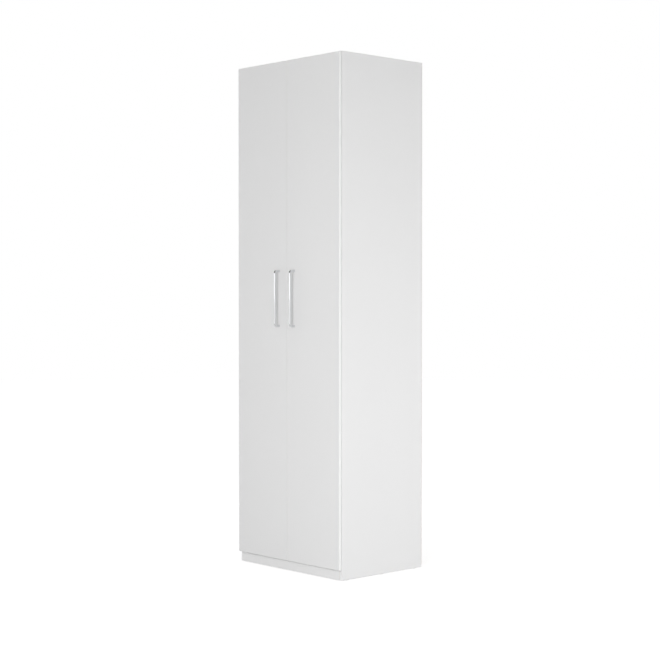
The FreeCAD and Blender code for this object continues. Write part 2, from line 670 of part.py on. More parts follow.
def handle():
    """A bow handle: one bent bar with softened edges and two blind screw holes."""
    outer_half = (HANDLE_SPACING + HANDLE_POST) / 2
    inner_half = (HANDLE_SPACING - HANDLE_POST) / 2
    outline = bow_outline(outer_half, HANDLE_PROJECTION, HANDLE_OUTER_ROUND)
    opening = bow_outline(inner_half, HANDLE_PROJECTION - HANDLE_BAR, HANDLE_INNER_ROUND)
    bow = outline.cut(opening).extrude(TO_RIGHT * HANDLE_WIDTH)
    faces_x = (X_HANDLE - HANDLE_WIDTH / 2, X_HANDLE + HANDLE_WIDTH / 2)
    rims = []
    for x in faces_x:
        rims += edges_where(bow, lambda point: near(point.x, x))
    rims = [edge for edge in rims if edge.CenterOfMass.y < Y_DOOR_FRONT - HANDLE_EDGE_ROUND]
    bow = Part.Solid(bow.Solids[0]).makeFillet(HANDLE_EDGE_ROUND, rims)
    return bow.cut([handle_screw(seat) for seat in handle_screw_seats()])


def bumper_seats():
    """Points on the door's back, in front of the edges of the top and bottom panels."""
    x = X_DOOR_FREE - BUMPER_INSET
    upper = (Z_TOP_PANEL + Z_DOOR_TOP) / 2
    lower = Z_BOTTOM_PANEL + BOARD / 2
    return [Vector(x, Y_DOOR_BACK, z) for z in (lower, upper)]


def door_bumper(seat):
    return rod(seat, TO_BACK, BUMPER_DIAMETER, DOOR_GAP - BUMPER_FREE_GAP)


def door_panel():
    """The left door, with rounded edges, cup bores and screw holes."""
    x = (X_DOOR_EDGE, X_DOOR_FREE)
    panel = box(x, (Y_DOOR_FRONT, Y_DOOR_BACK), (DOOR_BOTTOM, Z_DOOR_TOP))
    panel = panel.makeFillet(DOOR_EDGE_ROUND, panel.Edges)
    cutters = [handle_screw(seat) for seat in handle_screw_seats()]
    for z in hinge_heights():
        cutters.append(cup_bore(z))
        cutters += [cup_screw(seat) for seat in cup_screw_seats(z)]
    return panel.cut(cutters)


# The list of sub-parts

def handed_parts():
    """Left-hand sub-parts that have a right-hand twin: each is a list of separate solids."""
    heights = hinge_heights()
    return {
        "side_panel": [side_panel()],
        "rail_socket": [rail_socket()],
        "hinge_plates": [hinge_plate(z) for z in heights],
        "hinge_plate_screws": [plate_screw(seat) for z in heights for seat in plate_screw_seats(z)],
        "hinge_arms": [hinge_arm(z) for z in heights],
        "hinge_arm_screws": [arm_screw(seat) for z in heights for seat in arm_screw_seats(z)],
        "door_panel": [door_panel()],
        "handle": [handle()],
        "handle_screws": [handle_screw(seat) for seat in handle_screw_seats()],
        "hinge_cups": [hinge_cup(z) for z in heights],
        "hinge_pins": [hinge_pin(z) for z in heights],
        "hinge_cup_screws": [cup_screw(seat) for z in heights for seat in cup_screw_seats(z)],
        "door_bumpers": [door_bumper(seat) for seat in bumper_seats()],
    }


def shared_parts():
    """Sub-parts that span the wardrobe or are grouped for both hands."""
    upper_sheet, lower_sheet = back_sheets()
    places = [place for name in fixed_panels() for place in cam_places(name)]
    seen = [place for name in ("top_panel", "upper_shelf", "lower_shelf") for place in cam_places(name)]
    parts = {name: [fixed_panel(name)] for name in fixed_panels()}
    parts.update({name: [plinth(name)] for name in plinth_fronts()})
    parts["adjustable_shelf"] = [loose_shelf()]
    parts["back_sheet_upper"] = [upper_sheet]
    parts["back_sheet_lower"] = [lower_sheet]
    parts["back_joint_strip"] = [back_joint_strip()]
    parts["hanging_rail"] = [hanging_rail()]
    socket_screws = [rail_socket_screw(seat) for seat in rail_socket_screw_seats()]
    parts["rail_socket_screws"] = both_hands(socket_screws)
    parts["cam_bolts"] = both_hands([cam_bolt(place) for place in places])
    parts["cam_locks"] = both_hands([cam_lock(place) for place in places])
    parts["cam_covers"] = both_hands([cam_cover(place) for place in seen])
    parts["wooden_dowels"] = both_hands([dowel(seat) for seat in dowel_seats()])
    parts["shelf_pins"] = both_hands([shelf_pin(seat) for seat in shelf_pin_seats()])
    parts["floor_glides"] = both_hands([floor_glide(seat) for seat in glide_seats()])
    parts["wall_brackets"] = both_hands([wall_bracket()])
    parts["wall_bracket_screws"] = both_hands([wall_bracket_screw()])
    return parts


def export(name, solids):
    shape = solids[0] if len(solids) == 1 else Part.makeCompound(solids)
    shape.exportStep(f"parts/{name}.step")


def main():
    os.makedirs("parts", exist_ok=True)
    for name, solids in shared_parts().items():
        export(name, solids)
    for name, solids in handed_parts().items():
        export(f"left_{name}", solids)
        export(f"right_{name}", [mirrored(solid) for solid in solids])


if __name__ == "__main__":
    main()
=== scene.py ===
"""Looks of a tall, narrow wardrobe with two doors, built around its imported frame.

Lengths are in metres. X runs to the right, Y to the back and Z up, and the floor is at zero.
"""

from __future__ import annotations

import json
import logging
import math
from dataclasses import dataclass, field
from enum import Enum
from typing import Any

import bpy
import numpy as np
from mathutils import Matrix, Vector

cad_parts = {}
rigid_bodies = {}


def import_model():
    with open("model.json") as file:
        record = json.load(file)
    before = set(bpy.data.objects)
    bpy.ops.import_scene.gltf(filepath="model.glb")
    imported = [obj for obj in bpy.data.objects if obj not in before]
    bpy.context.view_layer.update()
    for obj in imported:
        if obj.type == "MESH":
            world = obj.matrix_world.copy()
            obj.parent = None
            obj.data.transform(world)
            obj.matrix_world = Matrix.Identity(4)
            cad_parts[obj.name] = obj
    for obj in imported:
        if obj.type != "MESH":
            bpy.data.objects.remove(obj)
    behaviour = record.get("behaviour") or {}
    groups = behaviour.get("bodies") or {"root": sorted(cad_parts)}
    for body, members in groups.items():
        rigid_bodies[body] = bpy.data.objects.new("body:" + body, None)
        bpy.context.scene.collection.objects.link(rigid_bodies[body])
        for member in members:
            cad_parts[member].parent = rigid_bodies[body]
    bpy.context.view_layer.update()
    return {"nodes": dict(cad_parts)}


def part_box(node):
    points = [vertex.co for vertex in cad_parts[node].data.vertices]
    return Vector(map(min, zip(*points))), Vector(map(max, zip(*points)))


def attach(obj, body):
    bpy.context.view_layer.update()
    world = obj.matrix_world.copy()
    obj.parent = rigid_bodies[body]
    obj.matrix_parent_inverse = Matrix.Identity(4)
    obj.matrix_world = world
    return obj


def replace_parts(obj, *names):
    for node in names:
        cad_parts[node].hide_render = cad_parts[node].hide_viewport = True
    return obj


Array = np.ndarray
Socket = bpy.types.NodeSocket
Pair = tuple[float, float]
Triple = tuple[float, float, float]
Colour = tuple[float, float, float, float]

MM = 0.001
FAR = 100.0                   # stands for no limit
SHARP_EDGE = math.radians(38)
WELD = 1e-6                   # points nearer than this are one point
CARCASS = "carcass"           # body that stands on the floor
LOG = logging.getLogger("wardrobe")


class Facing(Enum):
    """The six directions of the frame."""

    LEFT = (-1.0, 0.0, 0.0)
    RIGHT = (1.0, 0.0, 0.0)
    FRONT = (0.0, -1.0, 0.0)
    BACK = (0.0, 1.0, 0.0)
    DOWN = (0.0, 0.0, -1.0)
    UP = (0.0, 0.0, 1.0)

    @property
    def axis(self) -> int:
        """Number of the axis that the direction runs along."""
        return int(np.argmax(np.abs(self.value)))

    @property
    def sign(self) -> float:
        """Plus one towards the axis' high end, minus one towards its low end."""
        return self.value[self.axis]

    @property
    def axes(self) -> Array:
        """Three unit rows that stand square to each other, the last along the direction."""
        along = np.array(self.value)
        across = np.roll(np.abs(along), 1)
        return np.stack([across, np.cross(along, across), along])


class Hand(Enum):
    """The two sides of the wardrobe."""

    LEFT = "left"
    RIGHT = "right"

    @property
    def inward(self) -> Facing:
        """Direction from this side towards the middle."""
        return Facing.RIGHT if self is Hand.LEFT else Facing.LEFT

    @property
    def body(self) -> str:
        """Body that this side's door rides on."""
        return f"{self.value}_door"

    def node(self, name: str) -> str:
        """Full name of this side's sub-part."""
        return f"{self.value}_{name}"


# Surfaces


@dataclass(frozen=True)
class Shape:
    """A closed surface as whole arrays."""

    points: Array                 # one corner a row
    quads: Array                  # four corner numbers a face
    triangles: Array              # three corner numbers a face

    @classmethod
    def tube(cls, rings: Array, ends: Array | None = None) -> Shape:
        """Skin over closed rings, each joined to the next by a band of quads.

        Args:
            rings: Points, shaped (rings, points in a ring, 3).
            ends: Two points on which fans close the first and the last ring, or None where the last
                ring is joined to the first.

        Returns:
            The skin, with its faces outwards.
        """
        count, size = rings.shape[:2]
        step = np.arange(size)
        following = np.roll(step, -1)
        lower = np.arange(count if ends is None else count - 1)[:, None] * size
        upper = np.roll(np.arange(count), -1)[: len(lower), None] * size
        corners = [lower + step, lower + following, upper + following, upper + step]
        quads = np.stack(corners, axis=-1).reshape(-1, 4)
        points = rings.reshape(-1, 3)
        if ends is None:
            return cls(points, quads, np.empty((0, 3), int)).outward()
        pole = np.full(size, len(points))
        last = (count - 1) * size
        start_fan = np.stack([pole, following, step], axis=-1)
        end_fan = np.stack([pole + 1, last + step, last + following], axis=-1)
        return cls(np.vstack([points, ends]), quads, np.vstack([start_fan, end_fan])).outward()

    @classmethod
    def revolved(cls, segments: int, *stretches: tuple[Any, Any]) -> Shape:
        """Surface round the Z axis: the point of a ring at angle a is (r cos a, r sin a, h).

        Args:
            segments: Points in a ring.
            stretches: Stretches of the profile, each with the radius and the height of its rings: a
                number for one ring, a number a ring, or a number a point.

        Returns:
            The surface, closed on the axis at both ends.
        """
        r, h = (np.vstack([spread(part, segments) for part in parts]) for parts in zip(*stretches))
        angle = turn(segments)
        points = np.stack([r * np.cos(angle), r * np.sin(angle), h], axis=-1)
        ends = np.array([[0.0, 0.0, h[0].mean()], [0.0, 0.0, h[-1].mean()]])
        return cls.tube(points, ends)

    @classmethod
    def joined(cls, shapes: list[Shape]) -> Shape:
        """Several shapes as one.

        Args:
            shapes: The shapes.

        Returns:
            All their faces, each shape's corner numbers moved on past the points before it.
        """
        starts = np.cumsum([0] + [len(shape.points) for shape in shapes[:-1]])
        points = [shape.points for shape in shapes]
        quads = [shape.quads + start for shape, start in zip(shapes, starts)]
        triangles = [shape.triangles + start for shape, start in zip(shapes, starts)]
        return cls(np.vstack(points), np.vstack(quads), np.vstack(triangles))

    @property
    def volume(self) -> float:
        """Signed volume: the sum of a . (b x c) / 6 over the triangles."""
        halves = [self.quads[:, [0, 1, 2]], self.quads[:, [0, 2, 3]], self.triangles]
        a, b, c = np.moveaxis(self.points[np.vstack(halves)], 1, 0)
        return float(np.einsum("ij,ij->", a, np.cross(b, c)) / 6)

    def outward(self) -> Shape:
        """The same surface with its faces outwards."""
        turned = Shape(self.points, self.quads[:, ::-1], self.triangles[:, ::-1])
        return self if self.volume >= 0 else turned

    def copied(self, seats: Array, axes: Array) -> Shape:
        """One copy at each seat.

        Args:
            seats: Places of the copies' origins, one a row.
            axes: Unit rows along which the shape's X, Y and Z run.

        Returns:
            All copies as one shape.
        """
        points = (seats[:, None, :] + self.points @ axes).reshape(-1, 3)
        shift = np.arange(len(seats))[:, None, None] * len(self.points)
        quads = (self.quads + shift).reshape(-1, 4)
        triangles = (self.triangles + shift).reshape(-1, 3)
        return Shape(points, quads, triangles).outward()

    def piece(self, name: str) -> bpy.types.Object:
        """Puts the shape into the scene.

        Args:
            name: Name of the new object and its mesh.

        Returns:
            The object, smooth but for its sharp edges.
        """
        mesh = bpy.data.meshes.new(name)
        mesh.from_pydata(self.points.tolist(), [], self.quads.tolist() + self.triangles.tolist())
        mesh.polygons.foreach_set("use_smooth", np.ones(len(mesh.polygons), bool))
        mesh.set_sharp_from_angle(angle=SHARP_EDGE)
        made = bpy.data.objects.new(name, mesh)
        bpy.context.scene.collection.objects.link(made)
        weighted = made.modifiers.new("flat faces stay flat", "WEIGHTED_NORMAL")
        weighted.keep_sharp = True
        return made


def turn(count: int) -> Array:
    """Angles of a whole turn, half a step from zero."""
    return (np.arange(count) + 0.5) * 2 * np.pi / count


def quarter(count: int) -> Array:
    """Angles from zero to a right angle."""
    return np.linspace(0.0, np.pi / 2, count)


def spread(part: Any, segments: int) -> Array:
    """Numbers of some rings, given for each ring or each point, as one row a ring."""
    rings = np.atleast_1d(part)
    return np.broadcast_to(rings.reshape(len(rings), -1), (len(rings), segments))


def soft_step(value: Array, edge: float, softness: float) -> Array:
    """One below the edge and zero above it, with a straight slope between."""
    return np.clip((edge - value) / softness + 0.5, 0.0, 1.0)


def box_corners(name: str) -> tuple[Array, Array]:
    """Lowest and highest corners of a sub-part's box."""
    low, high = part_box(name)
    return np.array(low), np.array(high)


def solid_boxes(node: bpy.types.Object) -> Array:
    """Boxes of the separate solids of a sub-part.

    Points in one place are merged. Then each point takes the lowest number among the corners of its
    triangles, again and again, until the points of a solid share one number.

    Args:
        node: The sub-part's object.

    Returns:
        Lowest and highest corners, shaped (solids, 2, 3).
    """
    mesh = node.data
    points = np.empty(len(mesh.vertices) * 3)
    mesh.vertices.foreach_get("co", points)
    corners = np.empty(len(mesh.loops), int)
    mesh.loops.foreach_get("vertex_index", corners)
    rounded = np.round(points.reshape(-1, 3) / WELD) * WELD
    points, merged = np.unique(rounded, axis=0, return_inverse=True)
    triangles = merged.reshape(-1)[corners].reshape(-1, 3)
    label = np.arange(len(points))
    settled = False
    while not settled:
        before = label.copy()
        np.minimum.at(label, triangles, label[triangles].min(axis=1, keepdims=True))
        label = label[label]
        settled = np.array_equal(before, label)
    solids, number = np.unique(label, return_inverse=True)
    low = np.full((len(solids), 3), np.inf)
    high = np.full((len(solids), 3), -np.inf)
    np.minimum.at(low, number, points)
    np.maximum.at(high, number, points)
    return np.stack([low, high], axis=1)


# Shader nodes


class Sheet:
    """A node tree on which a finish is drawn."""

    def __init__(self, tree: bpy.types.NodeTree) -> None:
        """Starts on an empty tree."""
        self.tree = tree
        tree.nodes.clear()

    def node(self, kind: str, inputs: dict[Any, Any] | None = None, **settings: Any) -> bpy.types.Node:
        """Adds a node.

        Args:
            kind: Blender's name of the node type.
            inputs: Sockets to join to, or values to set, by the name or number of the input.
            settings: Properties of the node.

        Returns:
            The new node.
        """
        made = self.tree.nodes.new(kind)
        for name, value in settings.items():
            setattr(made, name, value)
        for key, value in (inputs or {}).items():
            if isinstance(value, Socket):
                self.tree.links.new(value, made.inputs[key])
            else:
                made.inputs[key].default_value = value
        return made

    def place(self) -> tuple[Socket, Socket]:
        """Place on the object in metres, and the surface's direction there."""
        outputs = self.node("ShaderNodeTexCoord").outputs
        return outputs["Object"], outputs["Normal"]

    def math(self, operation: str, *values: Any) -> Socket:
        """Result of an operation on numbers."""
        return self.node("ShaderNodeMath", dict(enumerate(values)), operation=operation).outputs[0]

    def mean(self, first: Any, second: Any) -> Socket:
        """Mean of two numbers."""
        return self.math("MULTIPLY", self.math("ADD", first, second), 0.5)

    def rest(self, share: Any) -> Socket:
        """What a share leaves of one."""
        return self.math("SUBTRACT", 1.0, share)

    def vector(self, operation: str, *values: Any) -> Socket:
        """Vector result of an operation on vectors."""
        return self.node("ShaderNodeVectorMath", dict(enumerate(values)), operation=operation).outputs[0]

    def dot(self, a: Any, b: Any) -> Socket:
        """Scalar product of two vectors."""
        return self.node("ShaderNodeVectorMath", {0: a, 1: b}, operation="DOT_PRODUCT").outputs["Value"]

    def split(self, vector: Any) -> Any:
        """The three numbers of a vector."""
        return self.node("ShaderNodeSeparateXYZ", {0: vector}).outputs

    def blend(self, share: Any, first: Any, second: Any) -> Socket:
        """Colour between two colours."""
        inputs = {0: share, 6: first, 7: second}
        return self.node("ShaderNodeMix", inputs, data_type="RGBA").outputs[2]

    def between(self, share: Any, first: Any, second: Any) -> Socket:
        """Number between two numbers."""
        return self.node("ShaderNodeMix", {0: share, 2: first, 3: second}).outputs[0]

    def noise(self, place: Any, scale: Any, detail: float) -> Socket:
        """Soft noise from nought to one."""
        inputs = {"Vector": place, "Scale": scale, "Detail": detail}
        return self.node("ShaderNodeTexNoise", inputs).outputs[0]

    def bump(self, height: Any, depth: float, **under: Any) -> Socket:
        """Normal of a surface with that height, in metres at full scale, on the normal under it."""
        inputs = {"Height": height, "Distance": depth, "Strength": 1.0, **under}
        return self.node("ShaderNodeBump", inputs).outputs["Normal"]

    def effect(self, effect: Effect, inputs: dict[str, Any]) -> Any:
        """Places a shared effect and gives its outputs."""
        return self.node("ShaderNodeGroup", inputs, node_tree=effect.tree()).outputs

    def clouds(self, position: Any, size: float) -> Socket:
        """Soft uneven patches of that size, from nought to one."""
        return self.effect(Clouds(), {"Position": position, "Size": size})[0]

    def streaks(self, position: Any, stretch: Triple) -> Socket:
        """Fine lines from nought to one, as close along each axis as its stretch is great."""
        return self.effect(Streaks(), {"Position": position, "Stretch": stretch})[0]

    def shader(self, kind: str, inputs: dict[Any, Any]) -> Socket:
        """Shader of that kind."""
        return self.node(f"ShaderNode{kind}", inputs).outputs[0]

    def end(self, shader: Socket, output: str = "OutputMaterial") -> None:
        """Joins a shader to the tree's output."""
        self.node(f"ShaderNode{output}", {"Surface": shader})

    def surface(self, inputs: dict[str, Any]) -> None:
        """Ends the sheet with a principled surface."""
        self.end(self.shader("BsdfPrincipled", inputs))


class Effect:
    """A shader node group that is drawn once and placed in many finishes."""

    name = ""
    inputs: dict[str, str] = {}
    outputs: dict[str, str] = {}

    def tree(self) -> bpy.types.NodeTree:
        """Draws the group when it is first asked for.

        Returns:
            The group.
        """
        found = bpy.data.node_groups.get(self.name)
        if found:
            return found
        tree = bpy.data.node_groups.new(self.name, "ShaderNodeTree")
        for in_out, sockets in (("INPUT", self.inputs), ("OUTPUT", self.outputs)):
            for name, kind in sockets.items():
                tree.interface.new_socket(name, in_out=in_out, socket_type=f"NodeSocket{kind}")
        sheet = Sheet(tree)
        given = sheet.node("NodeGroupInput").outputs
        sheet.node("NodeGroupOutput", self.draw(sheet, given))
        return tree

    def draw(self, sheet: Sheet, given: Any) -> dict[str, Socket]:
        """Draws the group's inside.

        Args:
            sheet: Where the nodes go.
            given: The group's input sockets, by name.

        Returns:
            The socket that each output shows.
        """
        raise NotImplementedError


class Clouds(Effect):
    """Soft uneven patches of one size."""

    name = "soft_patches"
    inputs = {"Position": "Vector", "Size": "Float"}
    outputs = {"Value": "Float"}
    detail = 3.0                  # octaves of the noise

    def draw(self, sheet: Sheet, given: Any) -> dict[str, Socket]:
        """Noise of that size."""
        scale = sheet.math("DIVIDE", 1.0, given["Size"])
        return {"Value": sheet.noise(given["Position"], scale, self.detail)}


class Streaks(Effect):
    """Fine lines that run along the axis with the least stretch."""

    name = "fine_lines"
    inputs = {"Position": "Vector", "Stretch": "Vector"}
    outputs = {"Value": "Float"}
    detail = 2.0                  # octaves of the noise

    def draw(self, sheet: Sheet, given: Any) -> dict[str, Socket]:
        """Noise on a stretched position."""
        place = sheet.vector("MULTIPLY", given["Position"], given["Stretch"])
        return {"Value": sheet.noise(place, 1.0, self.detail)}


class Chips(Effect):
    """Pressed wood chips, as on a sawn board edge or a drilled hole."""

    name = "pressed_chips"
    inputs = {"Position": "Vector", "Size": "Float"}
    outputs = {"Color": "Color", "Height": "Float"}
    pale: Colour = (0.62, 0.47, 0.30, 1.0)
    dark: Colour = (0.30, 0.20, 0.11, 1.0)
    fibres = 3.0                  # fibres to a chip
    detail = 2.0                  # octaves of the fibres
    contrast = 1.6                # of the chips' tones

    def draw(self, sheet: Sheet, given: Any) -> dict[str, Socket]:
        """Cells of many tones, with dark gaps between them."""
        scale = sheet.math("DIVIDE", 1.0, given["Size"])
        cells = sheet.node("ShaderNodeTexVoronoi", {"Vector": given["Position"], "Scale": scale})
        tone = sheet.node("ShaderNodeSeparateColor", {0: cells.outputs["Color"]}).outputs[0]
        fine = sheet.noise(given["Position"], sheet.math("MULTIPLY", scale, self.fibres), self.detail)
        share = sheet.math("MULTIPLY", sheet.math("MULTIPLY", tone, fine), self.contrast)
        colour = sheet.blend(share, self.pale, self.dark)
        return {"Color": colour, "Height": sheet.math("SUBTRACT", fine, cells.outputs["Distance"])}


class Towards(Effect):
    """Mask of the faces that look one way."""

    name = "faces_that_look_one_way"
    inputs = {"Normal": "Vector", "Direction": "Vector"}
    outputs = {"Mask": "Float"}
    least = 0.5                   # cosine of the widest angle between them

    def draw(self, sheet: Sheet, given: Any) -> dict[str, Socket]:
        """One where the normal is within sixty degrees of the direction."""
        share = sheet.dot(given["Normal"], given["Direction"])
        return {"Mask": sheet.math("GREATER_THAN", share, self.least)}


class BoardParts(Effect):
    """Tells a board's coated faces, its edge bands and its bare core apart.

    A point of an edge or hole is bare core where it lies deeper than the band below every banded
    edge. The glue line is the thin ring on a face where the band ends.
    """

    name = "coat_band_and_core"
    inputs = dict.fromkeys(("Position", "Normal", "Across", "Low", "High"), "Vector")
    outputs = dict.fromkeys(("Edge", "Core", "Glue Line"), "Float")
    band = 0.8 * MM
    glue = 0.12 * MM
    turned = 0.5                  # a face is an edge where its normal runs less than this across

    def draw(self, sheet: Sheet, given: Any) -> dict[str, Socket]:
        """Compares the depth below the banded edges with the band."""
        along = sheet.math("ABSOLUTE", sheet.dot(given["Normal"], given["Across"]))
        edge = sheet.math("LESS_THAN", along, self.turned)
        from_low = sheet.vector("SUBTRACT", given["Position"], given["Low"])
        from_high = sheet.vector("SUBTRACT", given["High"], given["Position"])
        x, y, z = sheet.split(sheet.vector("MINIMUM", from_low, from_high))
        depth = sheet.math("MINIMUM", sheet.math("MINIMUM", x, y), z)
        core = sheet.math("MULTIPLY", edge, sheet.math("GREATER_THAN", depth, self.band))
        line = sheet.math("COMPARE", depth, self.band, self.glue)
        return {"Edge": edge, "Core": core, "Glue Line": sheet.math("MULTIPLY", line, sheet.rest(edge))}


# Finishes


def grey(level: float) -> Colour:
    """A neutral colour."""
    return (level, level, level, 1.0)


@dataclass(frozen=True)
class Finish:
    """A surface finish, drawn once as a material."""

    name: str                     # of the material

    def material(self) -> bpy.types.Material:
        """Draws the material when it is first asked for.

        Returns:
            The material.
        """
        found = bpy.data.materials.get(self.name)
        if found:
            return found
        made = bpy.data.materials.new(self.name)
        made.use_nodes = True
        self.draw(Sheet(made.node_tree))
        return made

    def draw(self, sheet: Sheet) -> None:
        """Draws the finish.

        Args:
            sheet: Where the nodes go.
        """
        raise NotImplementedError


@dataclass(frozen=True)
class CoatedBoard(Finish):
    """Particle board with a satin white coat, white edge bands painted lighter than the coat as a painted
    highlight on the edges, and a bare core.
    """

    across: Triple                # direction through the board's thickness
    low: Triple                   # lowest banded planes, far away where an edge has no band
    high: Triple                  # highest banded planes, in the same way
    coat: Colour = grey(0.84)
    coat_patch: Colour = grey(0.825)
    # edge band tone, painted lighter than the coat: a painted highlight along the edges
    band: Colour = grey(0.90)
    glue: Colour = (0.56, 0.54, 0.50, 1.0)
    patch_size: float = 0.45
    peel_pitch: float = 1.1 * MM  # size of the coat's orange peel
    peel_depth: float = 0.012 * MM
    chip_size: float = 3.5 * MM
    smoothest: float = 0.43       # least roughness of the coat
    dullest: float = 0.52         # greatest roughness of the coat
    core_roughness: float = 0.92
    core_depth: float = 0.35 * MM

    def draw(self, sheet: Sheet) -> None:
        """Coat with a faint orange peel, plain bands painted lighter as a painted highlight, chips where
        the core is bare.
        """
        position, normal = sheet.place()
        planes = {"Across": self.across, "Low": self.low, "High": self.high}
        parts = sheet.effect(BoardParts(), {"Position": position, "Normal": normal, **planes})
        chips = sheet.effect(Chips(), {"Position": position, "Size": self.chip_size})
        patches = sheet.clouds(position, self.patch_size)
        coat = sheet.blend(patches, self.coat, self.coat_patch)
        # painted highlight: banded edges take the lighter band tone
        white = sheet.blend(parts["Edge"], coat, self.band)
        lined = sheet.blend(parts["Glue Line"], white, self.glue)
        colour = sheet.blend(parts["Core"], lined, chips["Color"])
        satin = sheet.between(patches, self.smoothest, self.dullest)
        roughness = sheet.between(parts["Core"], satin, self.core_roughness)
        peel = sheet.bump(sheet.clouds(position, self.peel_pitch), self.peel_depth)
        gaps = sheet.math("MULTIPLY", chips["Height"], parts["Core"])
        relief = sheet.bump(gaps, self.core_depth, Normal=peel)
        sheet.surface({"Base Color": colour, "Roughness": roughness, "Normal": relief})


@dataclass(frozen=True)
class Hardboard(Finish):
    """Thin fibre board: white paint inside, bare brown with a pressed screen pattern behind."""

    paint: Colour = grey(0.82)
    paint_patch: Colour = grey(0.80)
    fibre: Colour = (0.34, 0.215, 0.12, 1.0)
    fibre_patch: Colour = (0.24, 0.145, 0.075, 1.0)
    patch_size: float = 0.06
    fibre_stretch: Triple = (900.0, 900.0, 260.0)
    screen_pitch: float = 2.2 * MM
    screen_depth: float = 0.12 * MM
    paint_roughness: float = 0.48
    fibre_roughness: float = 0.82

    def draw(self, sheet: Sheet) -> None:
        """Paint on the faces that look forward, fibres and screen on the rest."""
        position, normal = sheet.place()
        facing = {"Normal": normal, "Direction": Facing.FRONT.value}
        painted = sheet.effect(Towards(), facing)[0]
        patches = sheet.clouds(position, self.patch_size)
        fibres = sheet.streaks(position, self.fibre_stretch)
        brown = sheet.blend(sheet.mean(patches, fibres), self.fibre, self.fibre_patch)
        white = sheet.blend(patches, self.paint, self.paint_patch)
        colour = sheet.blend(painted, brown, white)
        roughness = sheet.between(painted, self.fibre_roughness, self.paint_roughness)
        x, _, z = sheet.split(position)
        phases = [sheet.math("MULTIPLY", along, math.tau / self.screen_pitch) for along in (x, z)]
        screen = sheet.math("MULTIPLY", *(sheet.math("SINE", phase) for phase in phases))
        height = sheet.math("MULTIPLY", sheet.math("ADD", screen, fibres), sheet.rest(painted))
        relief = sheet.bump(height, self.screen_depth)
        sheet.surface({"Base Color": colour, "Roughness": roughness, "Normal": relief})


@dataclass(frozen=True)
class Metal(Finish):
    """Bare or plated metal with fine lines and patches in its shine."""

    colour: Colour                # of the brightest places
    patch: Colour                 # of the dullest places
    smoothest: float              # least roughness
    dullest: float                # greatest roughness
    patch_size: float
    stretch: Triple               # how finely the lines follow each other along each axis
    line_depth: float

    def draw(self, sheet: Sheet) -> None:
        """Lines and patches share the roughness, and the lines are slightly sunk."""
        position, _ = sheet.place()
        patches = sheet.clouds(position, self.patch_size)
        lines = sheet.streaks(position, self.stretch)
        colour = sheet.blend(patches, self.colour, self.patch)
        roughness = sheet.between(sheet.mean(patches, lines), self.smoothest, self.dullest)
        relief = sheet.bump(lines, self.line_depth)
        shine = {"Base Color": colour, "Metallic": 1.0, "Roughness": roughness, "Normal": relief}
        sheet.surface(shine)


@dataclass(frozen=True)
class Moulded(Finish):
    """Moulded plastic or rubber with a fine spark-eroded grain."""

    colour: Colour
    patch: Colour                 # of the duller patches
    grain: float = 0.5 * MM
    depth: float = 0.015 * MM     # of the grain
    roughness: float = 0.4        # middle of its range
    clear: float = 0.0            # share of light that passes through
    patch_size: float = 8 * MM
    unevenness: float = 0.08      # how far the roughness strays from that middle

    def draw(self, sheet: Sheet) -> None:
        """Grain in the relief, soft patches in colour and shine."""
        position, _ = sheet.place()
        patches = sheet.clouds(position, self.patch_size)
        colour = sheet.blend(patches, self.colour, self.patch)
        spans = (self.roughness - self.unevenness, self.roughness + self.unevenness)
        roughness = sheet.between(patches, *spans)
        relief = sheet.bump(sheet.clouds(position, self.grain), self.depth)
        inputs = {"Base Color": colour, "Roughness": roughness, "Normal": relief}
        sheet.surface({**inputs, "Transmission Weight": self.clear})


@dataclass(frozen=True)
class Beech(Finish):
    """Turned beech with pores along the dowel, which runs along X."""

    pale: Colour = (0.62, 0.44, 0.27, 1.0)
    dark: Colour = (0.44, 0.28, 0.15, 1.0)
    stretch: Triple = (90.0, 1400.0, 1400.0)
    depth: float = 0.05 * MM
    roughness: float = 0.6

    def draw(self, sheet: Sheet) -> None:
        """Pores in colour and relief."""
        position, _ = sheet.place()
        pores = sheet.streaks(position, self.stretch)
        colour = sheet.blend(pores, self.pale, self.dark)
        relief = sheet.bump(pores, self.depth)
        sheet.surface({"Base Color": colour, "Roughness": self.roughness, "Normal": relief})


CHROME = Metal(
    "bright_chrome", colour=(0.81, 0.82, 0.83, 1.0), patch=(0.785, 0.795, 0.81, 1.0), smoothest=0.03,
    dullest=0.085, patch_size=14 * MM, stretch=(2500.0, 2500.0, 120.0), line_depth=0.0006 * MM,
)
RAIL_CHROME = Metal(
    "drawn_chrome", colour=(0.84, 0.85, 0.86, 1.0), patch=(0.80, 0.81, 0.825, 1.0), smoothest=0.05,
    dullest=0.13, patch_size=30 * MM, stretch=(60.0, 2600.0, 2600.0), line_depth=0.0012 * MM,
)
NICKEL = Metal(
    "nickel_plate", colour=(0.70, 0.69, 0.66, 1.0), patch=(0.62, 0.61, 0.58, 1.0), smoothest=0.16,
    dullest=0.32, patch_size=6 * MM, stretch=(1800.0, 1800.0, 300.0), line_depth=0.004 * MM,
)
ZINC = Metal(
    "die_cast_zinc", colour=(0.63, 0.63, 0.63, 1.0), patch=(0.53, 0.53, 0.54, 1.0), smoothest=0.3,
    dullest=0.46, patch_size=4 * MM, stretch=(1500.0, 1500.0, 1500.0), line_depth=0.012 * MM,
)
WHITE_PLASTIC = Moulded("moulded_white_plastic", colour=grey(0.80), patch=grey(0.77))
CLEAR_RUBBER = Moulded(
    "soft_clear_rubber", colour=(0.86, 0.86, 0.84, 1.0), patch=(0.80, 0.80, 0.78, 1.0), grain=0.8 * MM,
    roughness=0.28, clear=0.75, patch_size=3 * MM,
)
BEECH = Beech("turned_beech")
HARDBOARD = Hardboard("hardboard_sheet")


# Sub-assemblies


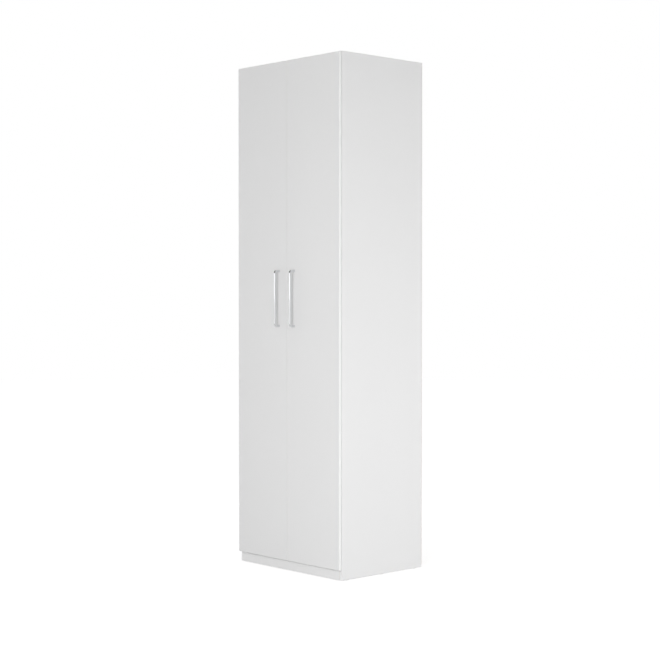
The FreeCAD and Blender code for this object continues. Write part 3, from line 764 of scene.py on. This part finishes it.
@dataclass
class Assembly:
    """A sub-assembly of the wardrobe."""

    nodes: dict[str, bpy.types.Object]      # the frame's sub-parts by name

    def build(self) -> None:
        """Makes the pieces and dresses the sub-parts."""
        raise NotImplementedError

    def dress(self, finish: Finish, *names: str) -> None:
        """Gives sub-parts a finish.

        Args:
            finish: The finish.
            names: Names of the sub-parts.
        """
        for name in names:
            self.nodes[name].material_slots[0].material = finish.material()
            LOG.info("%s is dressed in %s", name, finish.name)

    def add(self, name: str, shape: Shape, finish: Finish, body: str, slot: str) -> bpy.types.Object:
        """Puts a new piece on a body.

        Args:
            name: Name of the piece.
            shape: Its surface.
            finish: Its finish.
            body: Body that it rides on.
            slot: The record's material slot.

        Returns:
            slot: The record's material slot; not used.
        """
        made = shape.piece(name)
        made.data.materials.append(finish.material())
        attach(made, body)
        LOG.info("%s is made: %d faces, %s", name, len(made.data.polygons), finish.name)
        return made

    def replace(self, plain: str, *piece: Any) -> None:
        """Puts a piece, given as for add, in the place of a plain sub-part."""
        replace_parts(self.add(*piece), plain)

    def boxes(self, name: str) -> Array:
        """Boxes of the separate solids of a sub-part."""
        return solid_boxes(self.nodes[name])

    def size(self, name: str) -> Array:
        """Lengths of a sub-part's first solid along X, Y and Z."""
        return np.ptp(self.boxes(name)[0], axis=0)

    def seats(self, name: str, facing: Facing, depth: float = 0.0) -> Array:
        """Middle of the face of each solid that looks one way.

        Args:
            name: Name of the sub-part.
            facing: Direction in which the faces look.
            depth: How far behind those faces the seats lie.

        Returns:
            One point a row.
        """
        boxes = self.boxes(name)
        places = boxes.mean(axis=1)
        end = boxes[:, 1] if facing.sign > 0 else boxes[:, 0]
        places[:, facing.axis] = end[:, facing.axis] - facing.sign * depth
        return places


@dataclass
class Boards(Assembly):
    """The coated boards: each has its own edge bands, and the plinths are painted whiter, painted light
    that lifts the shade they stand in under the doors.
    """

    # direction through each board's thickness, and its edges that carry a band
    banded: dict[str, tuple[Facing, tuple[Facing, ...]]] = field(default_factory=lambda: {
        "left_side_panel": (Facing.RIGHT, (Facing.FRONT, Facing.UP)),
        "right_side_panel": (Facing.RIGHT, (Facing.FRONT, Facing.UP)),
        "top_panel": (Facing.UP, (Facing.FRONT,)),
        "bottom_panel": (Facing.UP, (Facing.FRONT,)),
        "upper_shelf": (Facing.UP, (Facing.FRONT,)),
        "lower_shelf": (Facing.UP, (Facing.FRONT,)),
        "adjustable_shelf": (Facing.UP, (Facing.FRONT, Facing.LEFT, Facing.RIGHT)),
        "front_plinth": (Facing.BACK, ()),
        "rear_plinth": (Facing.BACK, ()),
        "left_door_panel": (Facing.BACK, (Facing.LEFT, Facing.RIGHT, Facing.DOWN, Facing.UP)),
        "right_door_panel": (Facing.BACK, (Facing.LEFT, Facing.RIGHT, Facing.DOWN, Facing.UP)),
    })
    # painted light: the plinths' coat and its patches, painted whiter to lift the shade under the doors
    plinth_painted_light: tuple[Colour, Colour] = (grey(0.885), grey(0.87))     # of the plinths, and its patches

    def build(self) -> None:
        """Dresses every board with bands on its own edges."""
        for name, (across, bands) in self.banded.items():
            self.dress(self.finish(name, across, bands), name)

    def finish(self, name: str, across: Facing, bands: tuple[Facing, ...]) -> CoatedBoard:
        """Finish of one board.

        Args:
            name: Name of the sub-part.
            across: Direction through its thickness.
            bands: Edges that carry a band.

        Returns:
            The finish, with the planes of the banded edges.
        """
        low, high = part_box(name)
        planes = {-1.0: [-FAR] * 3, 1.0: [FAR] * 3}
        for band in bands:
            corner = high if band.sign > 0 else low
            planes[band.sign][band.axis] = corner[band.axis]
        # the plinths take the whiter coat, painted light over their shade
        coats = self.plinth_painted_light if name.endswith("plinth") else ()
        return CoatedBoard(f"coated_{name}", across.value, tuple(planes[-1.0]), tuple(planes[1.0]), *coats)


@dataclass(frozen=True)
class Screw:
    """A cross-recessed screw with a low round head.

    The head's crown is an ellipse, z = h sqrt(1 - (r / R)^2), less the recess. The thread is a ridge
    whose phase grows with height and angle, so that it climbs one pitch a turn.
    """

    head: float                   # diameter of the head
    height: float                 # height of the head
    shank: float                  # diameter over the thread
    length: float                 # from under the head to the tip
    segments: int = 40            # points in a ring
    crown_rings: int = 15
    rings_a_turn: int = 4         # rings of the shank in a turn of the thread
    pitch: float = 1.4 * MM
    thread: float = 0.22          # depth of the thread as a share of the shank
    tip: float = 2.0 * MM         # length of the pointed end
    point: float = 0.08           # least radius of that end as a share of the shank
    rim: float = 0.35             # upright part of the head as a share of its height
    recess_reach: float = 0.29    # half length of the cross as a share of the head
    recess_arm: float = 0.075     # half width of an arm as a share of the head
    recess_wall: float = 0.03     # width of the sloping walls as a share of the head
    recess_depth: float = 0.62    # as a share of the head's height

    def shape(self) -> Shape:
        """The screw on the Z axis, with the underside of its head at zero and its tip below."""
        return Shape.revolved(self.segments, self.threaded(), (self.head / 2, 0.0), self.crown())

    def threaded(self) -> tuple[Array, Array]:
        """The threaded shank.

        Returns:
            Radius and height of its rings, from the tip up.
        """
        turns = self.length / self.pitch
        height = np.linspace(-self.length, 0.0, round(turns * self.rings_a_turn) + 1)[:, None]
        phase = (height / self.pitch - turn(self.segments) / (2 * np.pi)) % 1.0
        ridge = np.abs(2 * phase - 1)
        taper = np.clip((height + self.length) / self.tip, self.point, 1.0)
        return self.shank / 2 * taper * (1 - self.thread * (1 - ridge)), height

    def crown(self) -> tuple[Array, Array]:
        """The crown of the head, with its recess.

        Returns:
            Radius and height of its rings, from the rim up.
        """
        rim = self.height * self.rim
        share = np.cos(quarter(self.crown_rings))[:-1, None]
        crown = rim + (self.height - rim) * np.sqrt(1 - share**2)
        radius = share * self.head / 2
        angle = turn(self.segments)
        u, v = np.abs(radius * np.cos(angle)), np.abs(radius * np.sin(angle))
        parts = (self.recess_arm, self.recess_reach, self.recess_wall)
        arm, end, wall = (self.head * part for part in parts)
        one = soft_step(u, arm, wall) * soft_step(v, end, wall)
        other = soft_step(v, arm, wall) * soft_step(u, end, wall)
        return radius, crown - self.recess_depth * self.height * np.maximum(one, other)


@dataclass
class Fastened(Assembly):
    """A sub-assembly that is held by screws."""

    wood_screw: Pair = (1.6 * MM, 3.5 * MM)      # head height and shank of the screws in the boards

    def screw(self, name: str, body: str, facing: Facing, size: Pair) -> None:
        """Puts detailed screws in the place of a sub-part's plain ones.

        Args:
            name: Name of the sub-part.
            body: Body that the screws ride on.
            facing: Direction in which the heads look.
            size: Height of a head and diameter of a shank.
        """
        height, shank = size
        lengths = self.size(name)
        head = np.delete(lengths, facing.axis).max()
        shape = Screw(head, height, shank, lengths[facing.axis] - height).shape()
        copies = shape.copied(self.seats(name, facing, height), facing.axes)
        self.replace(name, f"{name}_detailed", copies, NICKEL, body, "plated_steel")


@dataclass
class KnockDownFittings(Assembly):
    """Cam bolts, cam locks, dowels and the caps over the cams that can be seen."""

    cap_edge: float = 0.6 * MM    # radius of a cap's rounded edge
    cap_crown: float = 0.35 * MM  # rise of a cap's middle over its edge
    cap_middle: float = 0.1       # radius of the innermost ring as a share of the cap
    edge_rings: int = 6
    crown_rings: int = 8
    segments: int = 48            # points in a ring

    def build(self) -> None:
        """Dresses the hidden fittings and makes the caps."""
        self.dress(NICKEL, "cam_bolts")
        self.dress(ZINC, "cam_locks")
        self.dress(BEECH, "wooden_dowels")
        caps = self.cap().copied(self.seats("cam_covers", Facing.UP), Facing.DOWN.axes)
        self.replace("cam_covers", "cam_caps", caps, WHITE_PLASTIC, CARCASS, "white_plastic")

    def cap(self) -> Shape:
        """A low cap: a rounded edge, then a crown z = t - c (r / R)^2.

        Returns:
            The cap on the Z axis, with its underside at zero.
        """
        width, _, thickness = self.size("cam_covers")
        reach = width / 2
        bend = quarter(self.edge_rings)
        edge_r = reach - self.cap_edge * (1 - np.cos(bend))
        edge_h = thickness - self.cap_crown - self.cap_edge * (1 - np.sin(bend))
        crown_r = np.linspace(edge_r[-1], reach * self.cap_middle, self.crown_rings)[1:]
        crown_h = thickness - self.cap_crown * (crown_r / edge_r[-1]) ** 2
        return Shape.revolved(self.segments, (reach, 0.0), (edge_r, edge_h), (crown_r, crown_h))


@dataclass
class BackPanel(Assembly):
    """Two hardboard sheets, the strip that joins them and the nails that hold them."""

    nail_pitch: float = 0.14
    nail_inset: float = 0.025     # from the end of a row to its first nail
    nail_head: float = 4.2 * MM
    nail_rise: float = 0.7 * MM   # height of a head
    nail_foot: float = 0.92       # radius on the sheet as a share of the head's
    nail_flat: float = 0.3        # radius of the flat middle as a share of the head's
    nail_edge: Pair = (0.14, 0.6)      # width and height of the soft edge, as shares of the head's
    nail_rim: float = 0.35        # height where the soft edge begins, as a share of the head's
    edge_rings: int = 4
    segments: int = 16            # points in a ring

    def build(self) -> None:
        """Dresses the sheets and the strip, and drives in the nails."""
        self.dress(HARDBOARD, "back_sheet_upper", "back_sheet_lower")
        self.dress(WHITE_PLASTIC, "back_joint_strip")
        nails = self.nail().copied(self.nail_seats(), Facing.BACK.axes)
        self.add("back_sheet_nails", nails, NICKEL, CARCASS, "plated_steel")

    def nail(self) -> Shape:
        """A flat round head with a soft edge, a quarter of an ellipse.

        Returns:
            The head on the Z axis, with its underside at zero.
        """
        reach, rise = self.nail_head / 2, self.nail_rise
        edge_width, edge_height = self.nail_edge
        bend = quarter(self.edge_rings)
        edge_r = reach * (1 - edge_width * (1 - np.cos(bend)))
        edge_h = rise * (self.nail_rim + edge_height * np.sin(bend))
        foot, flat = (reach * self.nail_foot, 0.0), (reach * self.nail_flat, rise)
        return Shape.revolved(self.segments, foot, (edge_r, edge_h), flat)

    def nail_seats(self) -> Array:
        """Rows of nails up both sides and along each fixed panel.

        Returns:
            One point a row, on the back of the sheets.
        """
        lower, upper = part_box("back_sheet_lower"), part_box("back_sheet_upper")
        rows = []
        for bottom, top in (lower, upper):
            heights = self.row(bottom.z, top.z)
            for hand in Hand:
                low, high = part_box(hand.node("side_panel"))
                rows.append(np.column_stack([np.full_like(heights, (low.x + high.x) / 2), heights]))
        for name in ("top_panel", "upper_shelf", "lower_shelf", "bottom_panel"):
            low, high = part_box(name)
            across = self.row(low.x, high.x)
            rows.append(np.column_stack([across, np.full_like(across, (low.z + high.z) / 2)]))
        x, z = np.vstack(rows).T
        return np.column_stack([x, np.full_like(x, upper[1].y), z])

    def row(self, start: float, end: float) -> Array:
        """Even places about one pitch apart."""
        count = round((end - start - 2 * self.nail_inset) / self.nail_pitch) + 1
        return np.linspace(start + self.nail_inset, end - self.nail_inset, count)


@dataclass
class HangingRail(Fastened):
    """An oval chromed tube between two screwed sockets."""

    wall: float = 1.0 * MM        # thickness of the tube
    points: int = 96              # in a ring

    def build(self) -> None:
        """Makes the tube and its screws, and dresses the sockets."""
        self.replace("hanging_rail", "oval_rail", self.tube(), RAIL_CHROME, CARCASS, "chrome")
        for hand in Hand:
            self.dress(ZINC, hand.node("rail_socket"))
        self.screws("rail_socket_screws")

    def tube(self) -> Shape:
        """Two ovals, outside and inside, carried along X.

        Returns:
            The tube, in its place.
        """
        low, high = box_corners("hanging_rail")
        middle = (low + high) / 2
        half_width, half_height = (high - low)[1:] / 2
        outer = self.oval(half_width, half_height)
        inner = self.oval(half_width - self.wall, half_height - self.wall)
        walls = [(low[0], outer), (high[0], outer), (high[0], inner), (low[0], inner)]
        rings = [np.column_stack([np.full(self.points, x), oval + middle[1:]]) for x, oval in walls]
        return Shape.tube(np.stack(rings))

    def oval(self, half_width: float, half_height: float) -> Array:
        """Two half circles of radius w, moved apart along Z.

        Args:
            half_width: Half of the oval's width, and the radius w.
            half_height: Half of its height.

        Returns:
            Points (w cos a, w sin a +- s), where s is half of the straight part.
        """
        angle = turn(self.points)
        straight = (half_height - half_width) * np.sign(np.sin(angle))
        return np.column_stack([half_width * np.cos(angle), half_width * np.sin(angle) + straight])

    def screws(self, name: str) -> None:
        """Detailed screws at both sockets, with their heads towards the middle.

        Args:
            name: Name of the plain screws.
        """
        height, shank = self.wood_screw
        length, head, _ = self.size(name)
        shape = Screw(head, height, shank, length - height).shape()
        copies = []
        for facing in (hand.inward for hand in Hand):
            seats = self.seats(name, facing, height)
            copies.append(shape.copied(seats[seats[:, 0] * facing.sign < 0], facing.axes))
        self.replace(name, f"{name}_detailed", Shape.joined(copies), NICKEL, CARCASS, "plated_steel")


@dataclass
class Feet(Assembly):
    """Nailed floor glides."""

    foot_edge: float = 1.2 * MM   # radius of a glide's lower edge
    sole: float = 0.5             # radius of the sole's inner ring as a share of its outer one
    nail: float = 2.5 * MM        # diameter
    nail_tip: float = 0.15        # radius of the tip as a share of the nail's
    edge_rings: int = 7
    segments: int = 40            # points in a ring

    def build(self) -> None:
        """Makes the glides."""
        glides = self.glide().copied(self.seats("floor_glides", Facing.DOWN), Facing.UP.axes)
        self.replace("floor_glides", "nailed_glides", glides, WHITE_PLASTIC, CARCASS, "white_plastic")

    def glide(self) -> Shape:
        """A foot with a round lower edge, and a pointed nail above it.

        Returns:
            The glide on the Z axis, with its sole at zero.
        """
        width, _, top = self.size("floor_glides")
        reach = width / 2
        foot_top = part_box("left_side_panel")[0].z
        bend = quarter(self.edge_rings)
        edge_r = reach - self.foot_edge * (1 - np.sin(bend))
        edge_h = self.foot_edge * (1 - np.cos(bend))
        foot = [(edge_r[0] * self.sole, 0.0), (edge_r, edge_h), (reach, foot_top)]
        nail_r = self.nail / 2 * np.array([1.0, 1.0, self.nail_tip])
        nail_h = [foot_top, top - self.nail, top]
        return Shape.revolved(self.segments, *foot, (nail_r, nail_h))


@dataclass
class InnerHardware(Fastened):
    """Shelf pins and the brackets that hold the wardrobe to the wall."""

    def build(self) -> None:
        """Dresses the pins and brackets, and makes the screws."""
        self.dress(NICKEL, "shelf_pins", "wall_brackets")
        self.screw("wall_bracket_screws", CARCASS, Facing.DOWN, self.wood_screw)


@dataclass(kw_only=True)
class Hinges(Fastened):
    """The concealed hinges of one door."""

    hand: Hand
    arm_screw: Pair = (2.0 * MM, 4.0 * MM)       # head height and shank of the screws of an arm

    def build(self) -> None:
        """Dresses the hinges and makes their screws."""
        node = self.hand.node
        inward = self.hand.inward
        self.dress(ZINC, node("hinge_plates"))
        self.dress(NICKEL, node("hinge_arms"), node("hinge_cups"), node("hinge_pins"))
        self.screw(node("hinge_plate_screws"), CARCASS, inward, self.wood_screw)
        self.screw(node("hinge_arm_screws"), CARCASS, inward, self.arm_screw)
        self.screw(node("hinge_cup_screws"), self.hand.body, Facing.BACK, self.wood_screw)


@dataclass(kw_only=True)
class DoorFurniture(Fastened):
    """The bow handle, its screws and the bumpers of one door."""

    hand: Hand
    bar: float = 12.5 * MM        # thickness of the handle's bar, front to back
    post: float = 10.5 * MM       # height of the handle's posts
    outer_round: float = 15 * MM  # radius of the bow's outer corners
    inner_round: float = 5 * MM   # radius of the bow's inner corners
    edge_round: float = 1.0 * MM  # radius of the bar's long edges
    handle_screw: Pair = (2.4 * MM, 4.0 * MM)    # head height and shank
    leg_points: int = 4
    bend_points: int = 25
    bar_points: int = 6           # of half the bar
    edge_points: int = 9          # of a rounded edge
    pad_foot: float = 0.96        # radius of a bumper on the door as a share of its greatest
    pad_rim: float = 0.25         # upright part of a bumper as a share of its height
    pad_rings: int = 12
    segments: int = 40            # points in a ring of a bumper

    def build(self) -> None:
        """Makes the handle, its screws and the bumpers."""
        node, body = self.hand.node, self.hand.body
        self.replace(node("handle"), node("bow_handle"), self.bow(), CHROME, body, "chrome")
        self.screw(node("handle_screws"), body, Facing.BACK, self.handle_screw)
        bumpers = node("door_bumpers")
        pads = self.pad(bumpers).copied(self.seats(bumpers, Facing.FRONT), Facing.BACK.axes)
        self.replace(bumpers, node("bumper_pads"), pads, CLEAR_RUBBER, body, "clear_rubber")

    def bow(self) -> Shape:
        """A rounded rectangle carried along the bow.

        At each station it lies between the bow's outer and inner lines: a point is
        middle + v (outer - inner) / 2 in the plane of the bow, and u across it.

        Returns:
            The handle, in its place.
        """
        low, high = box_corners(self.hand.node("handle"))
        outer = self.bow_line(low, high, (0.0, 0.0), self.outer_round)
        inner = self.bow_line(low, high, (self.bar, self.post), self.inner_round)
        middle, reach = (outer + inner) / 2, (outer - inner) / 2
        u, v = self.section((high[0] - low[0]) / 2).T
        plane = middle[:, None, :] + v[None, :, None] * reach[:, None, :]
        across = np.broadcast_to((low[0] + high[0]) / 2 + u, plane.shape[:2])
        rings = np.concatenate([across[..., None], plane], axis=-1)
        return Shape.tube(rings, rings[[0, -1]].mean(axis=1))

    def bow_line(self, low: Array, high: Array, inset: Pair, corner: float) -> Array:
        """Line of the bow in the plane of Y and Z.

        Args:
            low: Lowest corner of the handle's box.
            high: Highest corner of the handle's box.
            inset: Distance inside the bow's front and inside its ends.
            corner: Radius of the two corners.

        Returns:
            A leg, a quarter circle and half of the bar, then their mirror image.
        """
        front, foot = low[1:] + inset
        centre = np.array([front + corner, foot + corner])
        bend = quarter(self.bend_points)
        arc = centre - corner * np.column_stack([np.sin(bend), np.cos(bend)])
        leg = np.linspace([high[1], foot], arc[0], self.leg_points)[:-1]
        half_bar = np.linspace(arc[-1], [front, (low[2] + high[2]) / 2], self.bar_points)[1:]
        lower = np.vstack([leg, arc, half_bar])
        upper = lower[-2::-1] * [1, -1] + [0, low[2] + high[2]]
        return np.vstack([lower, upper])

    def section(self, half: float) -> Array:
        """Section of the bow: a rectangle with round corners.

        Args:
            half: Half of its width.

        Returns:
            Rows (u, v): u in metres, v as a share of half the bar's thickness.
        """
        halves = np.array([half, self.bar / 2])
        bend = quarter(self.edge_points) + np.arange(4)[:, None] * math.pi / 2
        corners = np.array([[1, 1], [-1, 1], [-1, -1], [1, -1]])[:, None] * (halves - self.edge_round)
        ring = corners + self.edge_round * np.stack([np.cos(bend), np.sin(bend)], axis=-1)
        return ring.reshape(-1, 2) / [1.0, halves[1]]

    def pad(self, bumpers: str) -> Shape:
        """A soft pad: a low upright rim and a crown z = h sqrt(1 - (r / R)^2).

        Args:
            bumpers: Name of the plain bumpers.

        Returns:
            The pad on the Z axis, with its underside at zero.
        """
        width, thickness, _ = self.size(bumpers)
        reach = width / 2
        share = np.cos(quarter(self.pad_rings))[:-1]
        crown = thickness * (self.pad_rim + (1 - self.pad_rim) * np.sqrt(1 - share**2))
        return Shape.revolved(self.segments, (reach * self.pad_foot, 0.0), (reach * share, crown))


# Studio


def looking_rays(sheet: Sheet, mirrored: float) -> Socket:
    """Tells rays that look at the studio from rays that only carry its light.

    Args:
        sheet: Where the nodes go.
        mirrored: Value for rays off shiny surfaces.

    Returns:
        One for rays from the camera and through clear pieces, nought for rays that carry light.
    """
    ray = sheet.node("ShaderNodeLightPath").outputs
    straight = sheet.math("MAXIMUM", ray["Is Camera Ray"], ray["Is Transmission Ray"])
    return sheet.math("MAXIMUM", straight, sheet.math("MULTIPLY", ray["Is Glossy Ray"], mirrored))


@dataclass(frozen=True)
class PaleFloor(Finish):
    """Pale floor: lit and shadowed everywhere, and lifted to white where it is looked at."""

    colour: Colour = grey(0.6)    # as the object sees it
    lit: float = 0.3              # share of the look that light and shadow make for the camera
    glow: float = 0.82            # the rest of that look
    mirrored: float = 0.2         # how much of that look shiny surfaces show

    def draw(self, sheet: Sheet) -> None:
        """A plain floor for rays that carry light, a lifted one for rays that look at it."""
        seen = looking_rays(sheet, self.mirrored)
        plain = sheet.shader("BsdfDiffuse", {"Color": self.colour})
        lit = sheet.shader("BsdfDiffuse", {"Color": grey(self.lit)})
        glow = sheet.shader("Emission", {"Color": grey(self.glow), "Strength": 1.0})
        white = sheet.shader("AddShader", {0: lit, 1: glow})
        sheet.end(sheet.shader("MixShader", {0: seen, 1: plain, 2: white}))


@dataclass(frozen=True)
class SoftBox:
    """A rectangular soft light."""

    name: str
    place: Triple
    aim: Triple                   # point that it shines at
    width: float
    height: float
    power: float                  # in watts
    mirrored: bool = True         # whether shiny surfaces show it

    def build(self) -> None:
        """Puts the light into the scene."""
        light = bpy.data.lights.new(self.name, "AREA")
        light.shape = "RECTANGLE"
        light.size, light.size_y = self.width, self.height
        light.energy = self.power
        made = bpy.data.objects.new(self.name, light)
        made.visible_camera = False
        made.visible_glossy = self.mirrored
        made.location = self.place
        look = Vector(self.aim) - Vector(self.place)
        made.rotation_euler = look.to_track_quat("-Z", "Y").to_euler()
        bpy.context.scene.collection.objects.link(made)


@dataclass(frozen=True)
class Studio:
    """A pale floor, a white backdrop, soft lights and the camera."""

    floor_radius: float = 16.0
    floor_middle: float = 0.5     # radius of the innermost ring
    floor_thickness: float = 0.02
    floor_rings: int = 12         # on each face of the floor
    floor_segments: int = 96      # points in a ring
    floor_finish: PaleFloor = PaleFloor("pale_floor")
    ambient: float = 0.615        # strength of the light from all round
    ceiling: float = 0.0          # tone of the far ceiling in metal
    horizon: Pair = (0.01, 0.12)  # rise of a ray where that ceiling begins, and where it is reached
    camera_place: Triple = (5.17182, -4.74939, 1.27799)
    camera_yaw: float = 0.82591   # turn of the view to the left of the back, in radians
    camera_pitch: float = 0.02209      # turn of the view below the horizon, in radians
    lens: float = 80.356          # focal length, in millimetres
    sensor: float = 36.0          # width of the sensor, in millimetres
    lights: tuple[SoftBox, ...] = (
        SoftBox("key_soft_box", (3.6, -5.2, 2.0), (3.08, -4.44, 0.0), 1.6, 0.9, 238.0, mirrored=False),
        SoftBox("right_soft_box", (4.43, 1.69, 1.57), (3.82, 1.45, 0.0), 1.4, 0.7, 76.0, mirrored=False),
        SoftBox("handle_soft_box", (-3.98, -3.94, 1.61), (0.0, -0.28, 1.3), 1.4, 0.7, 1.3),
        SoftBox("top_soft_box", (0.0, 0.0, 4.4), (0.0, 0.0, 2.4), 0.6, 0.45, 9.0, mirrored=False),
    )

    def build(self) -> None:
        """Sets the whole studio up."""
        self.floor()
        self.backdrop()
        for light in self.lights:
            light.build()
        self.camera()
        bpy.context.scene.view_settings.view_transform = "Standard"

    def floor(self) -> None:
        """A round floor whose far edge is lost in the white backdrop."""
        rings = np.geomspace(self.floor_middle, self.floor_radius, self.floor_rings)
        under = (rings, np.full_like(rings, -self.floor_thickness))
        top = (rings[::-1], np.zeros_like(rings))
        made = Shape.revolved(self.floor_segments, under, top).piece("floor")
        made.data.materials.append(self.floor_finish.material())

    def backdrop(self) -> None:
        """White all round where it is looked at, and soft light from all round."""
        world = bpy.data.worlds.new("white_backdrop")
        world.use_nodes = True
        bpy.context.scene.world = world
        sheet = Sheet(world.node_tree)
        mirrored = sheet.node("ShaderNodeLightPath").outputs["Is Glossy Ray"]
        seen = looking_rays(sheet, 1.0)
        rise = sheet.split(sheet.node("ShaderNodeTexCoord").outputs["Generated"])[2]
        limits = {"Value": rise, "From Min": self.horizon[0], "From Max": self.horizon[1]}
        overhead = sheet.node("ShaderNodeMapRange", limits, interpolation_type="SMOOTHSTEP").outputs[0]
        dark = sheet.math("MULTIPLY", overhead, mirrored)
        white = sheet.blend(dark, grey(1.0), grey(self.ceiling))
        backdrop = sheet.shader("Background", {"Color": white, "Strength": 1.0})
        light = sheet.shader("Background", {"Color": grey(1.0), "Strength": self.ambient})
        sheet.end(sheet.shader("MixShader", {0: seen, 1: light, 2: backdrop}), "OutputWorld")

    def camera(self) -> None:
        """The photograph's viewpoint."""
        lens = bpy.data.cameras.new("camera")
        lens.sensor_width = self.sensor
        lens.lens = self.lens
        made = bpy.data.objects.new("camera", lens)
        made.location = self.camera_place
        made.rotation_euler = (math.pi / 2 - self.camera_pitch, 0.0, self.camera_yaw)
        bpy.context.scene.collection.objects.link(made)
        bpy.context.scene.camera = made


def clear_scene() -> None:
    """Removes what a new file holds."""
    for found in list(bpy.data.objects):
        bpy.data.objects.remove(found)


def main() -> None:
    """Builds the wardrobe's looks round its frame."""
    logging.basicConfig(level=logging.INFO, format="%(name)s: %(message)s")
    clear_scene()
    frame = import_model()
    nodes = frame["nodes"]
    assemblies: list[Assembly] = [
        Boards(nodes), KnockDownFittings(nodes), BackPanel(nodes), HangingRail(nodes), Feet(nodes),
        InnerHardware(nodes),
    ]
    for hand in Hand:
        assemblies += [Hinges(nodes, hand=hand), DoorFurniture(nodes, hand=hand)]
    for assembly in assemblies:
        assembly.build()
    Studio().build()


if __name__ == "__main__":
    main()
